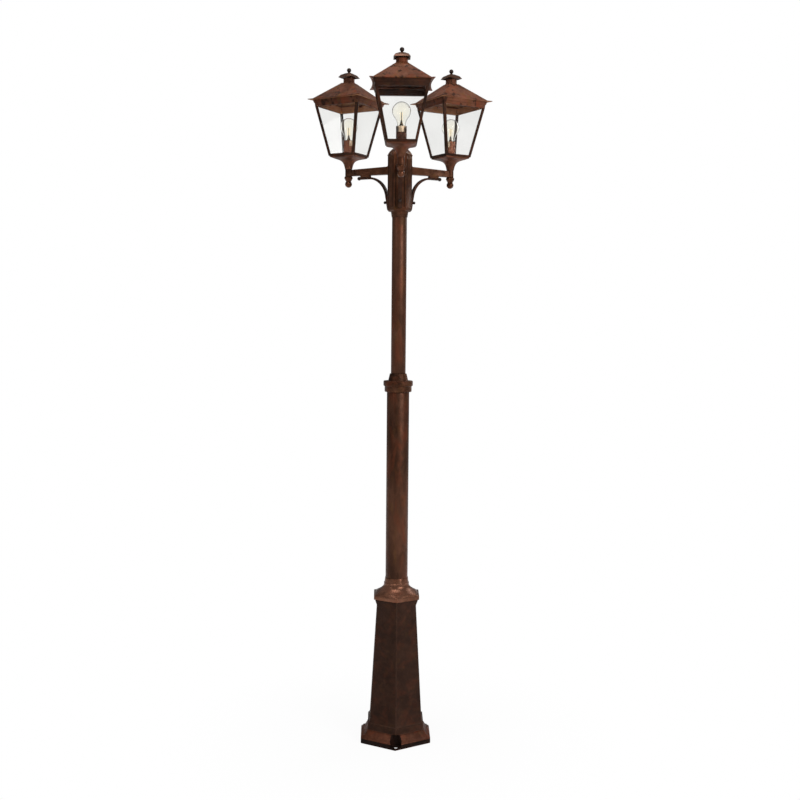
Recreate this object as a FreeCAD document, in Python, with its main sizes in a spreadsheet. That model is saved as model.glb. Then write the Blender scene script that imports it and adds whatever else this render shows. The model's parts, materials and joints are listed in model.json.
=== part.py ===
import FreeCAD
import Part
import Sketcher
import math
import os
from types import SimpleNamespace

# A triple head garden lamp post. A hollow hexagonal pedestal carries two stacked tubes and a
# hexagonal hub. Three arms leave the hub 120 degrees apart, and each carries a square lantern.
# The origin is on the post's axis at ground level, +Z is up, and one arm points along -Y.
# Lengths are in millimetres and angles in degrees.

SIZES = {
    # Pedestal: corner radii of the hexagons and heights of the courses, from the ground up.
    "rim_corner": 137.7,
    "rim_height": 19,
    "skirt_middle_corner": 121.5,
    "skirt_top_corner": 111,
    "skirt_height": 23,
    "skirt_middle_height": 9.2,
    "plinth_corner": 109.7,
    "plinth_height": 23,
    "moulding_corner": 107,
    "moulding_height": 10,
    "shaft_foot_corner": 102.8,
    "shaft_top_corner": 77.1,
    "shaft_height": 397,
    "cove_corner": 84,
    "cove_height": 22,
    "cove_lip_height": 4.4,
    "pedestal_wall": 5,
    "diaphragm_thickness": 6,
    "diaphragm_hole": 30,
    "tube_seat_height": 12,
    "tube_seat_wall": 5,
    "tube_sink": 90,
    # Fixing holes in the foot.
    "fixing_circle": 117,
    "fixing_hole": 6.5,
    "fixing_lug": 5,
    "recess_radius": 17.5,
    "recess_wall": 4.5,
    # Cap that closes the pedestal round the tube.
    "cap_ring_corner": 89.1,
    "cap_ring_height": 13,
    "cap_ring_roof": 2,
    "cap_shoulder_corner": 84,
    "cap_middle": 62.8,
    "cap_middle_level": 11.5,
    "cap_waist": 47.6,
    "cap_waist_level": 23,
    "cap_bead": 43.2,
    "cap_bead_level": 38,
    "cap_bead_step": 1,
    "cap_neck": 41.5,
    "cap_mouth": 39.2,
    "cap_neck_height": 18,
    "cap_wall": 6,
    "cap_lip_wall": 4,
    "cap_lip_depth": 10,
    "cap_lip_radius": 60.5,
    # Tubes.
    "lower_tube": 38,
    "lower_tube_wall": 2.5,
    "lower_tube_length": 814,
    "upper_tube": 25,
    "upper_tube_wall": 2,
    "upper_tube_length": 597,
    "socket_clearance": 0.1,
    # Collar between the tubes.
    "collar_lower_ring": 46,
    "collar_lower_height": 19,
    "collar_upper_ring": 50,
    "collar_upper_height": 19,
    "collar_sleeve_foot": 34,
    "collar_sleeve_top": 28.5,
    "collar_sleeve_height": 24,
    "collar_rounding": 3,
    "collar_groove": 1,
    "collar_socket": 15,
    "ledge_thickness": 6,
    "cable_hole": 20,
    # Hub.
    "hub_neck_foot": 26.5,
    "hub_neck_top": 29,
    "hub_neck_height": 18,
    "hub_socket": 30,
    "hub_corner": 41,
    "hub_chamfer": 5,
    "hub_height": 186,
    "hub_wall": 7.5,
    "groove_offset": 14,
    "groove_width": 2.5,
    "groove_depth": 1.5,
    "groove_margin": 14,
    # Lid of the hub.
    "lid_brim_corner": 42.5,
    "lid_brim_height": 3,
    "lid_shoulder_corner": 38,
    "lid_shoulder_height": 9,
    "lid_crown_corner": 27,
    "lid_crown_height": 21,
    "lid_tip_corner": 9,
    "lid_height": 34,
    "lid_button": 6,
    "lid_spigot_depth": 8,
    "lid_spigot_wall": 4,
    # Terminal block in the hub.
    "block_width": 30,
    "block_depth": 14,
    "block_height": 20,
    "block_level": 41,
    "block_hole": 2.5,
    "block_pitch": 8.4,
    # Arms. The reach is from the post's axis to a lantern's axis.
    "front_azimuth": 270,
    "left_azimuth": 150,
    "right_azimuth": 30,
    "arm_reach": 202,
    "arm_level": 139,
    "arm_root_height": 26,
    "arm_root_width": 20,
    "arm_tip_height": 20.5,
    "arm_tip_width": 15,
    "arm_flare": 4,
    "arm_flare_length": 10,
    "panel_depth": 1.5,
    "panel_border": 5,
    "panel_margin": 16,
    "spigot_radius": 6,
    "spigot_length": 18,
    "wire_bore": 3.5,
    "nut_height": 5,
    "nut_corner": 10.5,
    "boss_radius": 11.5,
    "boss_rise": 13,
    "boss_drop": 11,
    "pad_height": 5,
    "pad_rise": 1,
    "pad_grip": 2.5,
    "pad_inner": 116,
    "pad_outer": 151,
    # Brackets under the arms.
    "strap_width": 14,
    "strap_thickness": 7,
    "strap_end": 154,
    "strap_bend_start": 123,
    "strap_bend_radius": 74.5,
    "strap_lean": 10,
    "strap_foot": 24,
    "knob_radius": 6.4,
    "knob_place": 159.12,
    "knob_stud": 2.5,
    "knob_stud_length": 11,
    "knob_rim": 53.13,
    "foot_ball": 5,
    "foot_ball_place": 56.5,
    "foot_screw": 2.5,
    "foot_spacer": 6,
    # Stem and pendant at the end of each arm.
    "stem_radius": 5,
    "stem_bore": 3,
    "stem_sink": 15,
    "stem_end_room": 1,
    "stem_nut_height": 6,
    "stem_nut_corner": 9.8,
    "stem_top": 8,
    "vase_radius": 14.3,
    "vase_height": 17.5,
    "vase_belly": 6,
    "vase_rounding": 6,
    "pendant_neck": 8.7,
    "pendant_ball": 12,
    "pendant_ball_drop": 26,
    "pendant_ball_rim": 40,
    # Lantern: half widths and heights.
    "cup_foot": 12.2,
    "cup_throat": 15,
    "cup_throat_level": 12,
    "cup_flare": 21,
    "cup_flare_level": 24,
    "cup_spread": 26.35,
    "cup_spread_rounding": 49.6,
    "cup_spread_level": 33,
    "cup_height": 43,
    "tray_half": 47,
    "tray_lip": 1,
    "tray_rounding": 564,
    "tray_thickness": 3.5,
    "frame_foot_half": 50,
    "frame_top_half": 83.5,
    "frame_height": 164,
    "frame_wall": 4,
    "rail_height": 7,
    "post_width": 9,
    "frieze_top_half": 89.5,
    "frieze_height": 21,
    "frieze_fillet": 2,
    "frieze_wall": 6,
    "glass_thickness": 3,
    "glass_clearance": 0.3,
    "glass_sink": 2,
    "glass_trim": 1,
    # Roof and vent cap.
    "brim_corner_half": 101.5,
    "brim_side_half": 93,
    "brim_thickness": 2.5,
    "roof_foot_half": 92,
    "roof_top_half": 19,
    "roof_rise": 60,
    "roof_sheet": 6,
    "lug_width": 12,
    "lug_thickness": 2,
    "lug_depth": 6,
    "neck_radius": 19,
    "neck_foot": 21.5,
    "neck_foot_height": 3,
    "neck_sink": 1,
    "neck_wall": 3,
    "neck_height": 16,
    "neck_plate": 3,
    "vent_hole": 3.5,
    "vent_circle": 10,
    "vent_boss": 5,
    "vent_gap": 2,
    "vent_half": 27,
    "vent_shoulder_half": 21,
    "vent_top_half": 8,
    "vent_shoulder": 9,
    "vent_height": 16,
    "vent_wall": 2.5,
    "vent_tip_wall": 1.25,
    "stud_radius": 2.5,
    "stud_length": 14,
    "finial_foot": 6,
    "finial_foot_height": 1.2,
    "finial_neck_level": 2,
    "finial_room": 0.5,
    "finial_neck": 3.9,
    "finial_neck_height": 3.5,
    "finial_ball": 7.4,
    "finial_ball_rim": 58,
    # Lamp inside the lantern.
    "sleeve_radius": 17,
    "sleeve_wall": 1.8,
    "sleeve_height": 53.5,
    "sleeve_slot_width": 26,
    "sleeve_slot_depth": 19,
    "holder_wall": 1.5,
    "holder_height": 28.5,
    "holder_floor": 6,
    "screw_cap": 13.2,
    "screw_cap_height": 30,
    "screw_cap_tip": 4,
    "screw_cap_tip_height": 3,
    "screw_cap_tuck": 1,
    "screw_cap_wall": 1,
    "screw_cap_floor": 3,
    "screw_cap_depth": 11,
    "bulb_radius": 29.7,
    "bulb_neck": 12.6,
    "bulb_ball_height": 47,
    "bulb_neck_angle": 40,
    "bulb_wall": 1,
    "glass_stem": 4,
    "glass_stem_height": 17,
    "glass_stem_waist": 8.5,
    "glass_stem_foot": 1.5,
    "mount_radius": 1.6,
    "mount_height": 46,
    "filament_radius": 0.7,
    "filament_spread": 4,
    "filament_foot": 20,
    # Screws that lock the tubes.
    "set_screw": 3,
    "set_screw_recess": 1,
    "set_screw_proud": 2,
    "thread_clearance": 0.05,
    "running_clearance": 0.1,
    "seat_clearance": 0.3,
}


class Length:
    """A size as a number and as the expression that binds it to the sheet."""

    def __init__(self, value, text):
        self.value = value
        self.text = text

    def __add__(self, other):
        other = length(other)
        return Length(self.value + other.value, f"({self.text} + {other.text})")

    def __sub__(self, other):
        other = length(other)
        return Length(self.value - other.value, f"({self.text} - {other.text})")

    def __mul__(self, factor):
        factor = length(factor)
        return Length(self.value * factor.value, f"({self.text} * {factor.text})")

    def __truediv__(self, divisor):
        divisor = length(divisor)
        return Length(self.value / divisor.value, f"({self.text} / {divisor.text})")

    def __neg__(self):
        return Length(-self.value, f"(0 - {self.text})")


def length(item):
    return item if isinstance(item, Length) else Length(float(item), f"({float(item)!r})")


def cosine(angle):
    return Length(math.cos(math.radians(angle.value)), f"cos({angle.text} * 1 deg)")


def sine(angle):
    return Length(math.sin(math.radians(angle.value)), f"sin({angle.text} * 1 deg)")


doc = FreeCAD.newDocument("TripleLampPost")
sheet = doc.addObject("Spreadsheet::Sheet", "Sizes")
for row, (alias, number) in enumerate(SIZES.items(), start=1):
    sheet.set(f"A{row}", alias)
    sheet.set(f"B{row}", str(number))
    sheet.setAlias(f"B{row}", alias)
doc.recompute()

s = SimpleNamespace(**{alias: Length(number, f"Sizes.{alias}") for alias, number in SIZES.items()})
SUB_PARTS = []
XY, XZ, YZ = "XY_Plane", "XZ_Plane", "YZ_Plane"
HEX_SIDES = 6
SQUARE_SIDES = 4
ARMS = 3
APOTHEM = math.cos(math.pi / HEX_SIDES)
CORNER_AHEAD, FLAT_AHEAD = 30, 0
HEADS = {"front": s.front_azimuth, "left": s.left_azimuth, "right": s.right_azimuth}

# Levels above the ground, worked out course by course.
skirt_top = s.rim_height + s.skirt_height
plinth_top = skirt_top + s.plinth_height
shaft_foot = plinth_top + s.moulding_height
shaft_top = shaft_foot + s.shaft_height
pedestal_top = shaft_top + s.cove_height
cap_ring_top = pedestal_top + s.cap_ring_height
cap_bead = cap_ring_top + s.cap_bead_level
cap_top = cap_bead + s.cap_neck_height
lower_tube_foot = pedestal_top - s.tube_sink
lower_tube_top = lower_tube_foot + s.lower_tube_length
collar_foot = lower_tube_top - s.collar_socket
upper_tube_foot = lower_tube_top + s.ledge_thickness
collar_ring_joint = collar_foot + s.collar_lower_height
collar_ring_top = collar_ring_joint + s.collar_upper_height
collar_top = collar_ring_top + s.collar_sleeve_height
upper_tube_top = upper_tube_foot + s.upper_tube_length
hub_neck = upper_tube_top - s.hub_socket
hub_foot = hub_neck + s.hub_neck_height
hub_ledge_top = upper_tube_top + s.ledge_thickness
hub_top = hub_foot + s.hub_height
hub_flat = s.hub_corner * APOTHEM
hub_inner_flat = hub_flat - s.hub_wall
arm_axis = hub_foot + s.arm_level
boss_foot = arm_axis - s.boss_drop
boss_top = arm_axis + s.boss_rise
pad_level = arm_axis - s.arm_root_height / 2 - s.pad_height + s.pad_rise
strap_axis = pad_level - s.strap_thickness / 2
strap_heel = strap_axis - s.strap_bend_radius + s.strap_bend_radius * sine(s.strap_lean)
strap_toe = strap_heel - s.strap_foot * 2
foot_level = strap_heel - s.strap_foot
tray_top = boss_top + s.cup_height
frieze_foot = tray_top + s.frame_height
frieze_top = frieze_foot + s.frieze_height
brim_top = frieze_top + s.brim_thickness
roof_top = brim_top + s.roof_rise
neck_top = roof_top + s.neck_height
vent_rim = neck_top + s.vent_gap
vent_top = vent_rim + s.vent_height
stem_nut_top = tray_top + s.running_clearance + s.stem_nut_height
holder_foot = stem_nut_top + s.running_clearance
holder_top = holder_foot + s.holder_height
screw_cap_foot = holder_top - s.screw_cap_depth
screw_cap_top = screw_cap_foot + s.screw_cap_height
bulb_foot = screw_cap_top - s.screw_cap_tuck
bulb_centre = screw_cap_top + s.bulb_ball_height

# Grub screws at the back of the sockets: tube radius, outer end of the screw, level.
CAP_SCREW = (s.lower_tube, s.cap_neck - s.set_screw_recess, cap_bead + s.cap_neck_height / 2)
COLLAR_SCREW = (s.lower_tube, s.collar_lower_ring, collar_foot + s.collar_socket / 2)
SLEEVE_SCREW = (
    s.upper_tube, s.collar_sleeve_top + s.set_screw_proud,
    collar_ring_top + s.collar_sleeve_height / 2,
)
HUB_SCREW = (s.upper_tube, s.hub_neck_foot + s.set_screw_recess, hub_neck + s.hub_neck_height / 2)


def bind(thing, path, size):
    thing.setExpression(path, size.text)


def new_body(label):
    """An empty body with its own label; its shape is written under that name."""
    body = doc.addObject("PartDesign::Body", "Body")
    body.Label = label
    body.AllowCompound = True
    SUB_PARTS.append(body)
    return body


def place(body, azimuth, reach=None):
    """Turns a body to an arm's azimuth and, with a reach, moves it out to that lantern's axis."""
    body.Placement = FreeCAD.Placement(
        FreeCAD.Vector(0, 0, 0), FreeCAD.Rotation(FreeCAD.Vector(0, 0, 1), azimuth.value)
    )
    bind(body, "Placement.Rotation.Angle", azimuth)
    if reach:
        bind(body, "Placement.Base.x", reach * cosine(azimuth))
        bind(body, "Placement.Base.y", reach * sine(azimuth))


def new_sketch(body, plane, offset=None):
    """A sketch on one of the body's own origin planes, lifted off it by an offset."""
    sketch = body.newObject("Sketcher::SketchObject", "Sketch")
    support = [item for item in body.Origin.OriginFeatures if item.Role == plane][0]
    sketch.AttachmentSupport = [(support, "")]
    sketch.MapMode = "FlatFace"
    if offset is not None:
        bind(sketch, "AttachmentOffset.Base.z", length(offset))
    return sketch


def hold(sketch, kind, places, size):
    index = sketch.addConstraint(Sketcher.Constraint(kind, *places, size.value))
    bind(sketch, f"Constraints[{index}]", size)


def arc_edge(start, end, radius, side):
    """The short arc between two points; side +1 puts its centre on the left of the way there."""
    run = end - start
    across = FreeCAD.Vector(-run.y, run.x, 0).normalize()
    rise = math.sqrt(max(radius * radius - run.Length * run.Length / 4, 0))
    centre = (start + end) / 2 + across * side * rise
    spoke = (start - centre) + (end - centre)
    middle = centre + spoke.normalize() * radius
    return Part.Arc(start, middle, end)


def draw(sketch, corners):
    """A closed outline. A corner is (x, y), or (x, y, radius, side) where an arc leaves it."""
    corners = [[length(item) for item in corner] for corner in corners]
    points = [FreeCAD.Vector(corner[0].value, corner[1].value, 0) for corner in corners]
    first = sketch.GeometryCount
    count = len(corners)
    reversed_arcs = []
    for i, corner in enumerate(corners):
        start, end = points[i], points[(i + 1) % count]
        if len(corner) == 2:
            sketch.addGeometry(Part.LineSegment(start, end), False)
            reversed_arcs.append(False)
        else:
            edge = arc_edge(start, end, corner[2].value, corner[3].value)
            index = sketch.addGeometry(edge, False)
            begins = sketch.getPoint(index, 1)
            reversed_arcs.append((begins - start).Length > (begins - end).Length)
    for i, corner in enumerate(corners):
        following = (i + 1) % count
        leaving = 1 if reversed_arcs[i] else 2
        arriving = 2 if reversed_arcs[following] else 1
        pair = (first + i, leaving, first + following, arriving)
        sketch.addConstraint(Sketcher.Constraint("Coincident", *pair))
        start = 2 if reversed_arcs[i] else 1
        hold(sketch, "DistanceX", (first + i, start), corner[0])
        hold(sketch, "DistanceY", (first + i, start), corner[1])
        if len(corner) > 2:
            hold(sketch, "Radius", (first + i,), corner[2])


def draw_circle(sketch, radius, x=0, y=0):
    x, y = length(x), length(y)
    centre = FreeCAD.Vector(x.value, y.value, 0)
    index = sketch.addGeometry(Part.Circle(centre, FreeCAD.Vector(0, 0, 1), radius.value), False)
    hold(sketch, "Radius", (index,), radius)
    hold(sketch, "DistanceX", (index, 3), x)
    hold(sketch, "DistanceY", (index, 3), y)


def hexagon(radius, first_angle, y=0):
    """Corners of a regular hexagon by its corner radius and its first corner's direction."""
    angles = [math.radians(first_angle + 360 * i / HEX_SIDES) for i in range(HEX_SIDES)]
    return [(radius * math.cos(a), length(y) + radius * math.sin(a)) for a in angles]


def pedestal_hexagon(radius):
    return hexagon(radius, CORNER_AHEAD)


def hub_hexagon(radius):
    return hexagon(radius, FLAT_AHEAD)


def rectangle(x_low, x_high, y_low, y_high):
    return [(x_low, y_low), (x_high, y_low), (x_high, y_high), (x_low, y_high)]


def square(half):
    return rectangle(-half, half, -half, half)


def rounded_square(half, radius):
    """Four arcs through a square's corners; radius is half times root two for a full circle."""
    return [(x, y, radius, 1) for x, y in square(half)]


def feature(body, kind, profile, cut=False):
    names = {
        "extrude": ("PartDesign::Pad", "PartDesign::Pocket"),
        "turn": ("PartDesign::Revolution", "PartDesign::Groove"),
        "loft": ("PartDesign::AdditiveLoft", "PartDesign::SubtractiveLoft"),
    }
    item = body.newObject(names[kind][cut], kind.capitalize())
    item.Profile = profile
    return item


def extrude(body, outline, plane, start, size, cut=False, both_ways=False):
    """Pads an outline from a level by a length, or cuts it out with cut=True."""
    sketch = new_sketch(body, plane, start)
    draw(sketch, outline)
    return extrude_sketch(body, sketch, size, cut, both_ways)


def extrude_round(body, radius, plane, start, size, cut=False, x=0, y=0):
    sketch = new_sketch(body, plane, start)
    draw_circle(sketch, radius, x, y)
    return extrude_sketch(body, sketch, size, cut)


def extrude_sketch(body, sketch, size, cut=False, both_ways=False):
    item = feature(body, "extrude", sketch, cut)
    bind(item, "Length", length(size))
    item.SideType = "Symmetric" if both_ways else "One side"
    item.Reversed = cut and not both_ways
    return item


def turn(body, outline, cut=False):
    """Revolves an outline of radius and level about the vertical axis."""
    sketch = new_sketch(body, XZ)
    draw(sketch, outline)
    item = feature(body, "turn", sketch, cut)
    item.ReferenceAxis = (sketch, ["V_Axis"])
    item.Angle = 360
    return item


def loft(body, sections, plane=XY, cut=False, ruled=True):
    """Joins outlines at rising offsets from a plane."""
    sketches = []
    for offset, outline in sections:
        sketch = new_sketch(body, plane, offset)
        draw(sketch, outline)
        sketches.append(sketch)
    item = feature(body, "loft", sketches[0], cut)
    item.Sections = sketches[1:]
    item.Ruled = ruled
    return item


def drill_for_screw(body, seat):
    """The threaded hole for a grub screw, through the back wall of a socket."""
    tube_radius, outer_end, level = seat
    sketch = new_sketch(body, XZ, -tube_radius)
    draw_circle(sketch, s.set_screw + s.thread_clearance, 0, level)
    hole = feature(body, "extrude", sketch, True)
    bind(hole, "Length", (outer_end - tube_radius) * 3)


def around(body, item, copies):
    """Repeats a feature about the vertical axis."""
    pattern = body.newObject("PartDesign::PolarPattern", "Pattern")
    pattern.Originals = [item]
    axis = [thing for thing in body.Origin.OriginFeatures if thing.Role == "Z_Axis"][0]
    pattern.Axis = (axis, [""])
    pattern.Angle = 360
    pattern.Occurrences = copies
    body.Tip = pattern
    return pattern


def base_pedestal():
    body = new_body("base_pedestal")
    wall = s.pedestal_wall / APOTHEM
    inner_foot = s.plinth_corner - wall
    shaft_slope = (s.shaft_foot_corner - s.shaft_top_corner) / s.shaft_height
    diaphragm_foot = lower_tube_foot - s.diaphragm_thickness
    lower_top_corner = s.shaft_foot_corner - shaft_slope * (diaphragm_foot - shaft_foot) - wall
    upper_foot_corner = s.shaft_foot_corner - shaft_slope * (lower_tube_foot - shaft_foot) - wall
    shape = pedestal_hexagon
    extrude(body, shape(s.rim_corner), XY, 0, s.rim_height)
    middle = s.rim_height + s.skirt_middle_height
    loft(body, [
        (s.rim_height, shape(s.rim_corner)),
        (middle, shape(s.skirt_middle_corner)),
        (skirt_top, shape(s.skirt_top_corner)),
    ])
    extrude(body, shape(s.plinth_corner), XY, skirt_top, s.plinth_height)
    loft(body, [(plinth_top, shape(s.moulding_corner)), (shaft_foot, shape(s.shaft_foot_corner))])
    loft(body, [(shaft_foot, shape(s.shaft_foot_corner)), (shaft_top, shape(s.shaft_top_corner))])
    cove_lip = pedestal_top - s.cove_lip_height
    loft(body, [(shaft_top, shape(s.shaft_top_corner)), (cove_lip, shape(s.cove_corner))])
    extrude(body, shape(s.cove_corner), XY, cove_lip, pedestal_top - cove_lip)
    extrude(body, shape(inner_foot), XY, 0, plinth_top, cut=True)
    loft(body, [(plinth_top, shape(inner_foot - (s.plinth_corner - s.shaft_foot_corner))),
                (diaphragm_foot, shape(lower_top_corner))], cut=True)
    loft(body, [(lower_tube_foot, shape(upper_foot_corner)),
                (shaft_top, shape(s.shaft_top_corner - wall))], cut=True)
    extrude(body, shape(s.shaft_top_corner - wall), XY, shaft_top, s.cove_height, cut=True)
    seat = s.lower_tube + s.socket_clearance
    turn(body, rectangle(seat, seat + s.tube_seat_wall, lower_tube_foot,
                         lower_tube_foot + s.tube_seat_height))
    extrude_round(body, s.diaphragm_hole, XY, diaphragm_foot, s.diaphragm_thickness, cut=True)
    # A web closes the pedestal's corner behind each recess, so that the recess stays blind.
    web_back = s.fixing_circle - s.recess_radius - s.recess_wall
    web_tip = inner_foot + s.pedestal_wall / 2
    web_half = (web_tip - web_back) * math.tan(math.pi / ARMS)
    web = extrude(body, [(0, -web_tip), (web_half, -web_back), (-web_half, -web_back)], XY, 0,
                  skirt_top + s.pedestal_wall)
    around(body, web, ARMS)
    recess = extrude_round(body, s.recess_radius, XY, s.fixing_lug, skirt_top - s.fixing_lug,
                           cut=True, y=-s.fixing_circle)
    around(body, recess, ARMS)
    mouth = extrude(body, rectangle(-s.recess_radius, s.recess_radius, -s.rim_corner,
                                    -s.fixing_circle), XY, s.fixing_lug, s.rim_height, cut=True)
    around(body, mouth, ARMS)
    hole = extrude_round(body, s.fixing_hole, XY, 0, s.fixing_lug, cut=True, y=-s.fixing_circle)
    around(body, hole, ARMS)


def pedestal_cap():
    """Six flats below that turn into a round neck above, over a hollow."""

    def circle(radius):
        return [(x, y, radius, 1) for x, y in pedestal_hexagon(radius)]

    body = new_body("pedestal_cap")
    waist = cap_ring_top + s.cap_waist_level
    bore = s.lower_tube + s.socket_clearance
    extrude(body, pedestal_hexagon(s.cap_ring_corner), XY, pedestal_top, s.cap_ring_height)
    loft(body, [
        (cap_ring_top, pedestal_hexagon(s.cap_shoulder_corner)),
        (cap_ring_top + s.cap_middle_level, circle(s.cap_middle)),
        (waist, circle(s.cap_waist)),
        (cap_bead, circle(s.cap_bead)),
    ], ruled=False)
    turn(body, [(bore, cap_bead), (s.cap_bead, cap_bead), (s.cap_neck, cap_bead + s.cap_bead_step),
                (s.cap_mouth, cap_top), (bore, cap_top)])
    lip_foot = pedestal_top - s.cap_lip_depth
    lip_bore = s.cap_lip_radius - s.cap_lip_wall
    turn(body, rectangle(lip_bore, s.cap_lip_radius, lip_foot, pedestal_top))
    turn(body, [
        (0, pedestal_top),
        (lip_bore, pedestal_top),
        (lip_bore, cap_ring_top - s.cap_ring_roof),
        (s.cap_waist - s.cap_wall, waist - s.cap_wall),
        (bore, waist),
        (bore, cap_bead),
        (0, cap_bead),
    ], cut=True)
    drill_for_screw(body, CAP_SCREW)


def tube(label, radius, wall, foot, size):
    body = new_body(label)
    turn(body, rectangle(radius - wall, radius, foot, foot + size))


def post_collar():
    body = new_body("post_collar")
    r = s.collar_rounding
    low, high, top = collar_foot, collar_ring_joint, collar_ring_top
    lower_bore = s.lower_tube + s.socket_clearance
    upper_bore = s.upper_tube + s.socket_clearance
    turn(body, [
        (lower_bore, low),
        (s.collar_lower_ring - r, low, r, 1),
        (s.collar_lower_ring, low + r),
        (s.collar_lower_ring, high),
        (s.collar_upper_ring - r, high + s.collar_groove, r, 1),
        (s.collar_upper_ring, high + s.collar_groove + r),
        (s.collar_upper_ring, top - r, r, 1),
        (s.collar_upper_ring - r, top),
        (s.collar_sleeve_foot, top),
        (s.collar_sleeve_top, collar_top),
        (upper_bore, collar_top),
        (upper_bore, upper_tube_foot),
        (s.cable_hole, upper_tube_foot),
        (s.cable_hole, lower_tube_top),
        (lower_bore, lower_tube_top),
    ])
    drill_for_screw(body, COLLAR_SCREW)
    drill_for_screw(body, SLEEVE_SCREW)


def hub_body():
    body = new_body("hub_body")
    bore = s.upper_tube + s.socket_clearance
    shape = hub_hexagon
    chamfer_top = hub_foot + s.hub_chamfer
    loft(body, [(hub_foot, shape(s.hub_corner - s.hub_chamfer)),
                (chamfer_top, shape(s.hub_corner))])
    extrude(body, shape(s.hub_corner), XY, chamfer_top, s.hub_height - s.hub_chamfer)
    turn(body, [(0, hub_neck), (s.hub_neck_foot, hub_neck), (s.hub_neck_top, hub_foot),
                (0, hub_foot)])
    extrude(body, shape(hub_inner_flat / APOTHEM), XY, hub_ledge_top, hub_top - hub_ledge_top,
            cut=True)
    extrude_round(body, s.cable_hole, XY, upper_tube_top, s.ledge_thickness, cut=True)
    extrude_round(body, bore, XY, hub_neck, s.hub_socket, cut=True)
    half = s.groove_width / 2
    for middle in (s.groove_offset, -s.groove_offset):
        sketch = new_sketch(body, XZ, hub_flat - s.groove_depth)
        draw(sketch, rectangle(middle - half, middle + half, hub_foot + s.groove_margin,
                               hub_top - s.groove_margin))
        groove = feature(body, "extrude", sketch, True)
        bind(groove, "Length", s.groove_depth * 2)
        groove.Reversed = True
        around(body, groove, HEX_SIDES)
    for radius, level in ((s.spigot_radius, arm_axis), (s.foot_screw, foot_level)):
        sketch = new_sketch(body, XZ, hub_inner_flat - s.hub_wall)
        draw_circle(sketch, radius + s.running_clearance, 0, level)
        hole = feature(body, "extrude", sketch, True)
        bind(hole, "Length", s.hub_wall * 3)
        hole.Reversed = True
        around(body, hole, ARMS)
    drill_for_screw(body, HUB_SCREW)


def hub_cap():
    body = new_body("hub_cap")
    shape = hub_hexagon
    brim_top_level = hub_top + s.lid_brim_height
    spigot = hub_inner_flat / APOTHEM - s.running_clearance
    extrude(body, shape(s.lid_brim_corner), XY, hub_top, s.lid_brim_height)
    loft(body, [
        (brim_top_level, shape(s.hub_corner)),
        (hub_top + s.lid_shoulder_height, shape(s.lid_shoulder_corner)),
        (hub_top + s.lid_crown_height, shape(s.lid_crown_corner)),
        (hub_top + s.lid_height, shape(s.lid_tip_corner)),
    ], ruled=False)
    tip = hub_top + s.lid_height
    turn(body, [(0, tip - s.lid_button), (s.lid_button, tip, s.lid_button, 1),
                (0, tip + s.lid_button)])
    extrude(body, shape(spigot), XY, hub_top - s.lid_spigot_depth, s.lid_spigot_depth)
    hollow = spigot * APOTHEM - s.lid_spigot_wall
    extrude_round(body, hollow, XY, hub_top - s.lid_spigot_depth,
                  s.lid_spigot_depth + s.lid_shoulder_height, cut=True)


def terminal_block():
    """Sits on the hub's back face, away from the three arms."""
    body = new_body("terminal_block")
    low = hub_foot + s.block_level
    back = hub_inner_flat
    half = s.block_width / 2
    extrude(body, rectangle(-half, half, back - s.block_depth, back), XY, low, s.block_height)
    for row in (-1, 0, 1):
        extrude_round(body, s.block_hole, XY, low, s.block_height, cut=True,
                      x=s.block_pitch * row, y=back - s.block_depth / 2)


def arm_nuts():
    body = new_body("arm_nuts")
    sketch = new_sketch(body, YZ, hub_inner_flat - s.nut_height)
    draw(sketch, hexagon(s.nut_corner, FLAT_AHEAD, y=arm_axis))
    draw_circle(sketch, s.spigot_radius + s.socket_clearance, 0, arm_axis)
    nut = feature(body, "extrude", sketch)
    bind(nut, "Length", s.nut_height)
    around(body, nut, ARMS)
    place(body, s.right_azimuth)


def set_screws():
    """One grub screw at the back of each socket, with its tip on the tube."""
    body = new_body("set_screws")
    for tube_radius, outer_end, level in (CAP_SCREW, COLLAR_SCREW, SLEEVE_SCREW, HUB_SCREW):
        sketch = new_sketch(body, XZ, -tube_radius)
        draw_circle(sketch, s.set_screw, 0, level)
        screw = feature(body, "extrude", sketch)
        bind(screw, "Length", outer_end - tube_radius)
        screw.Reversed = True


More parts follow.
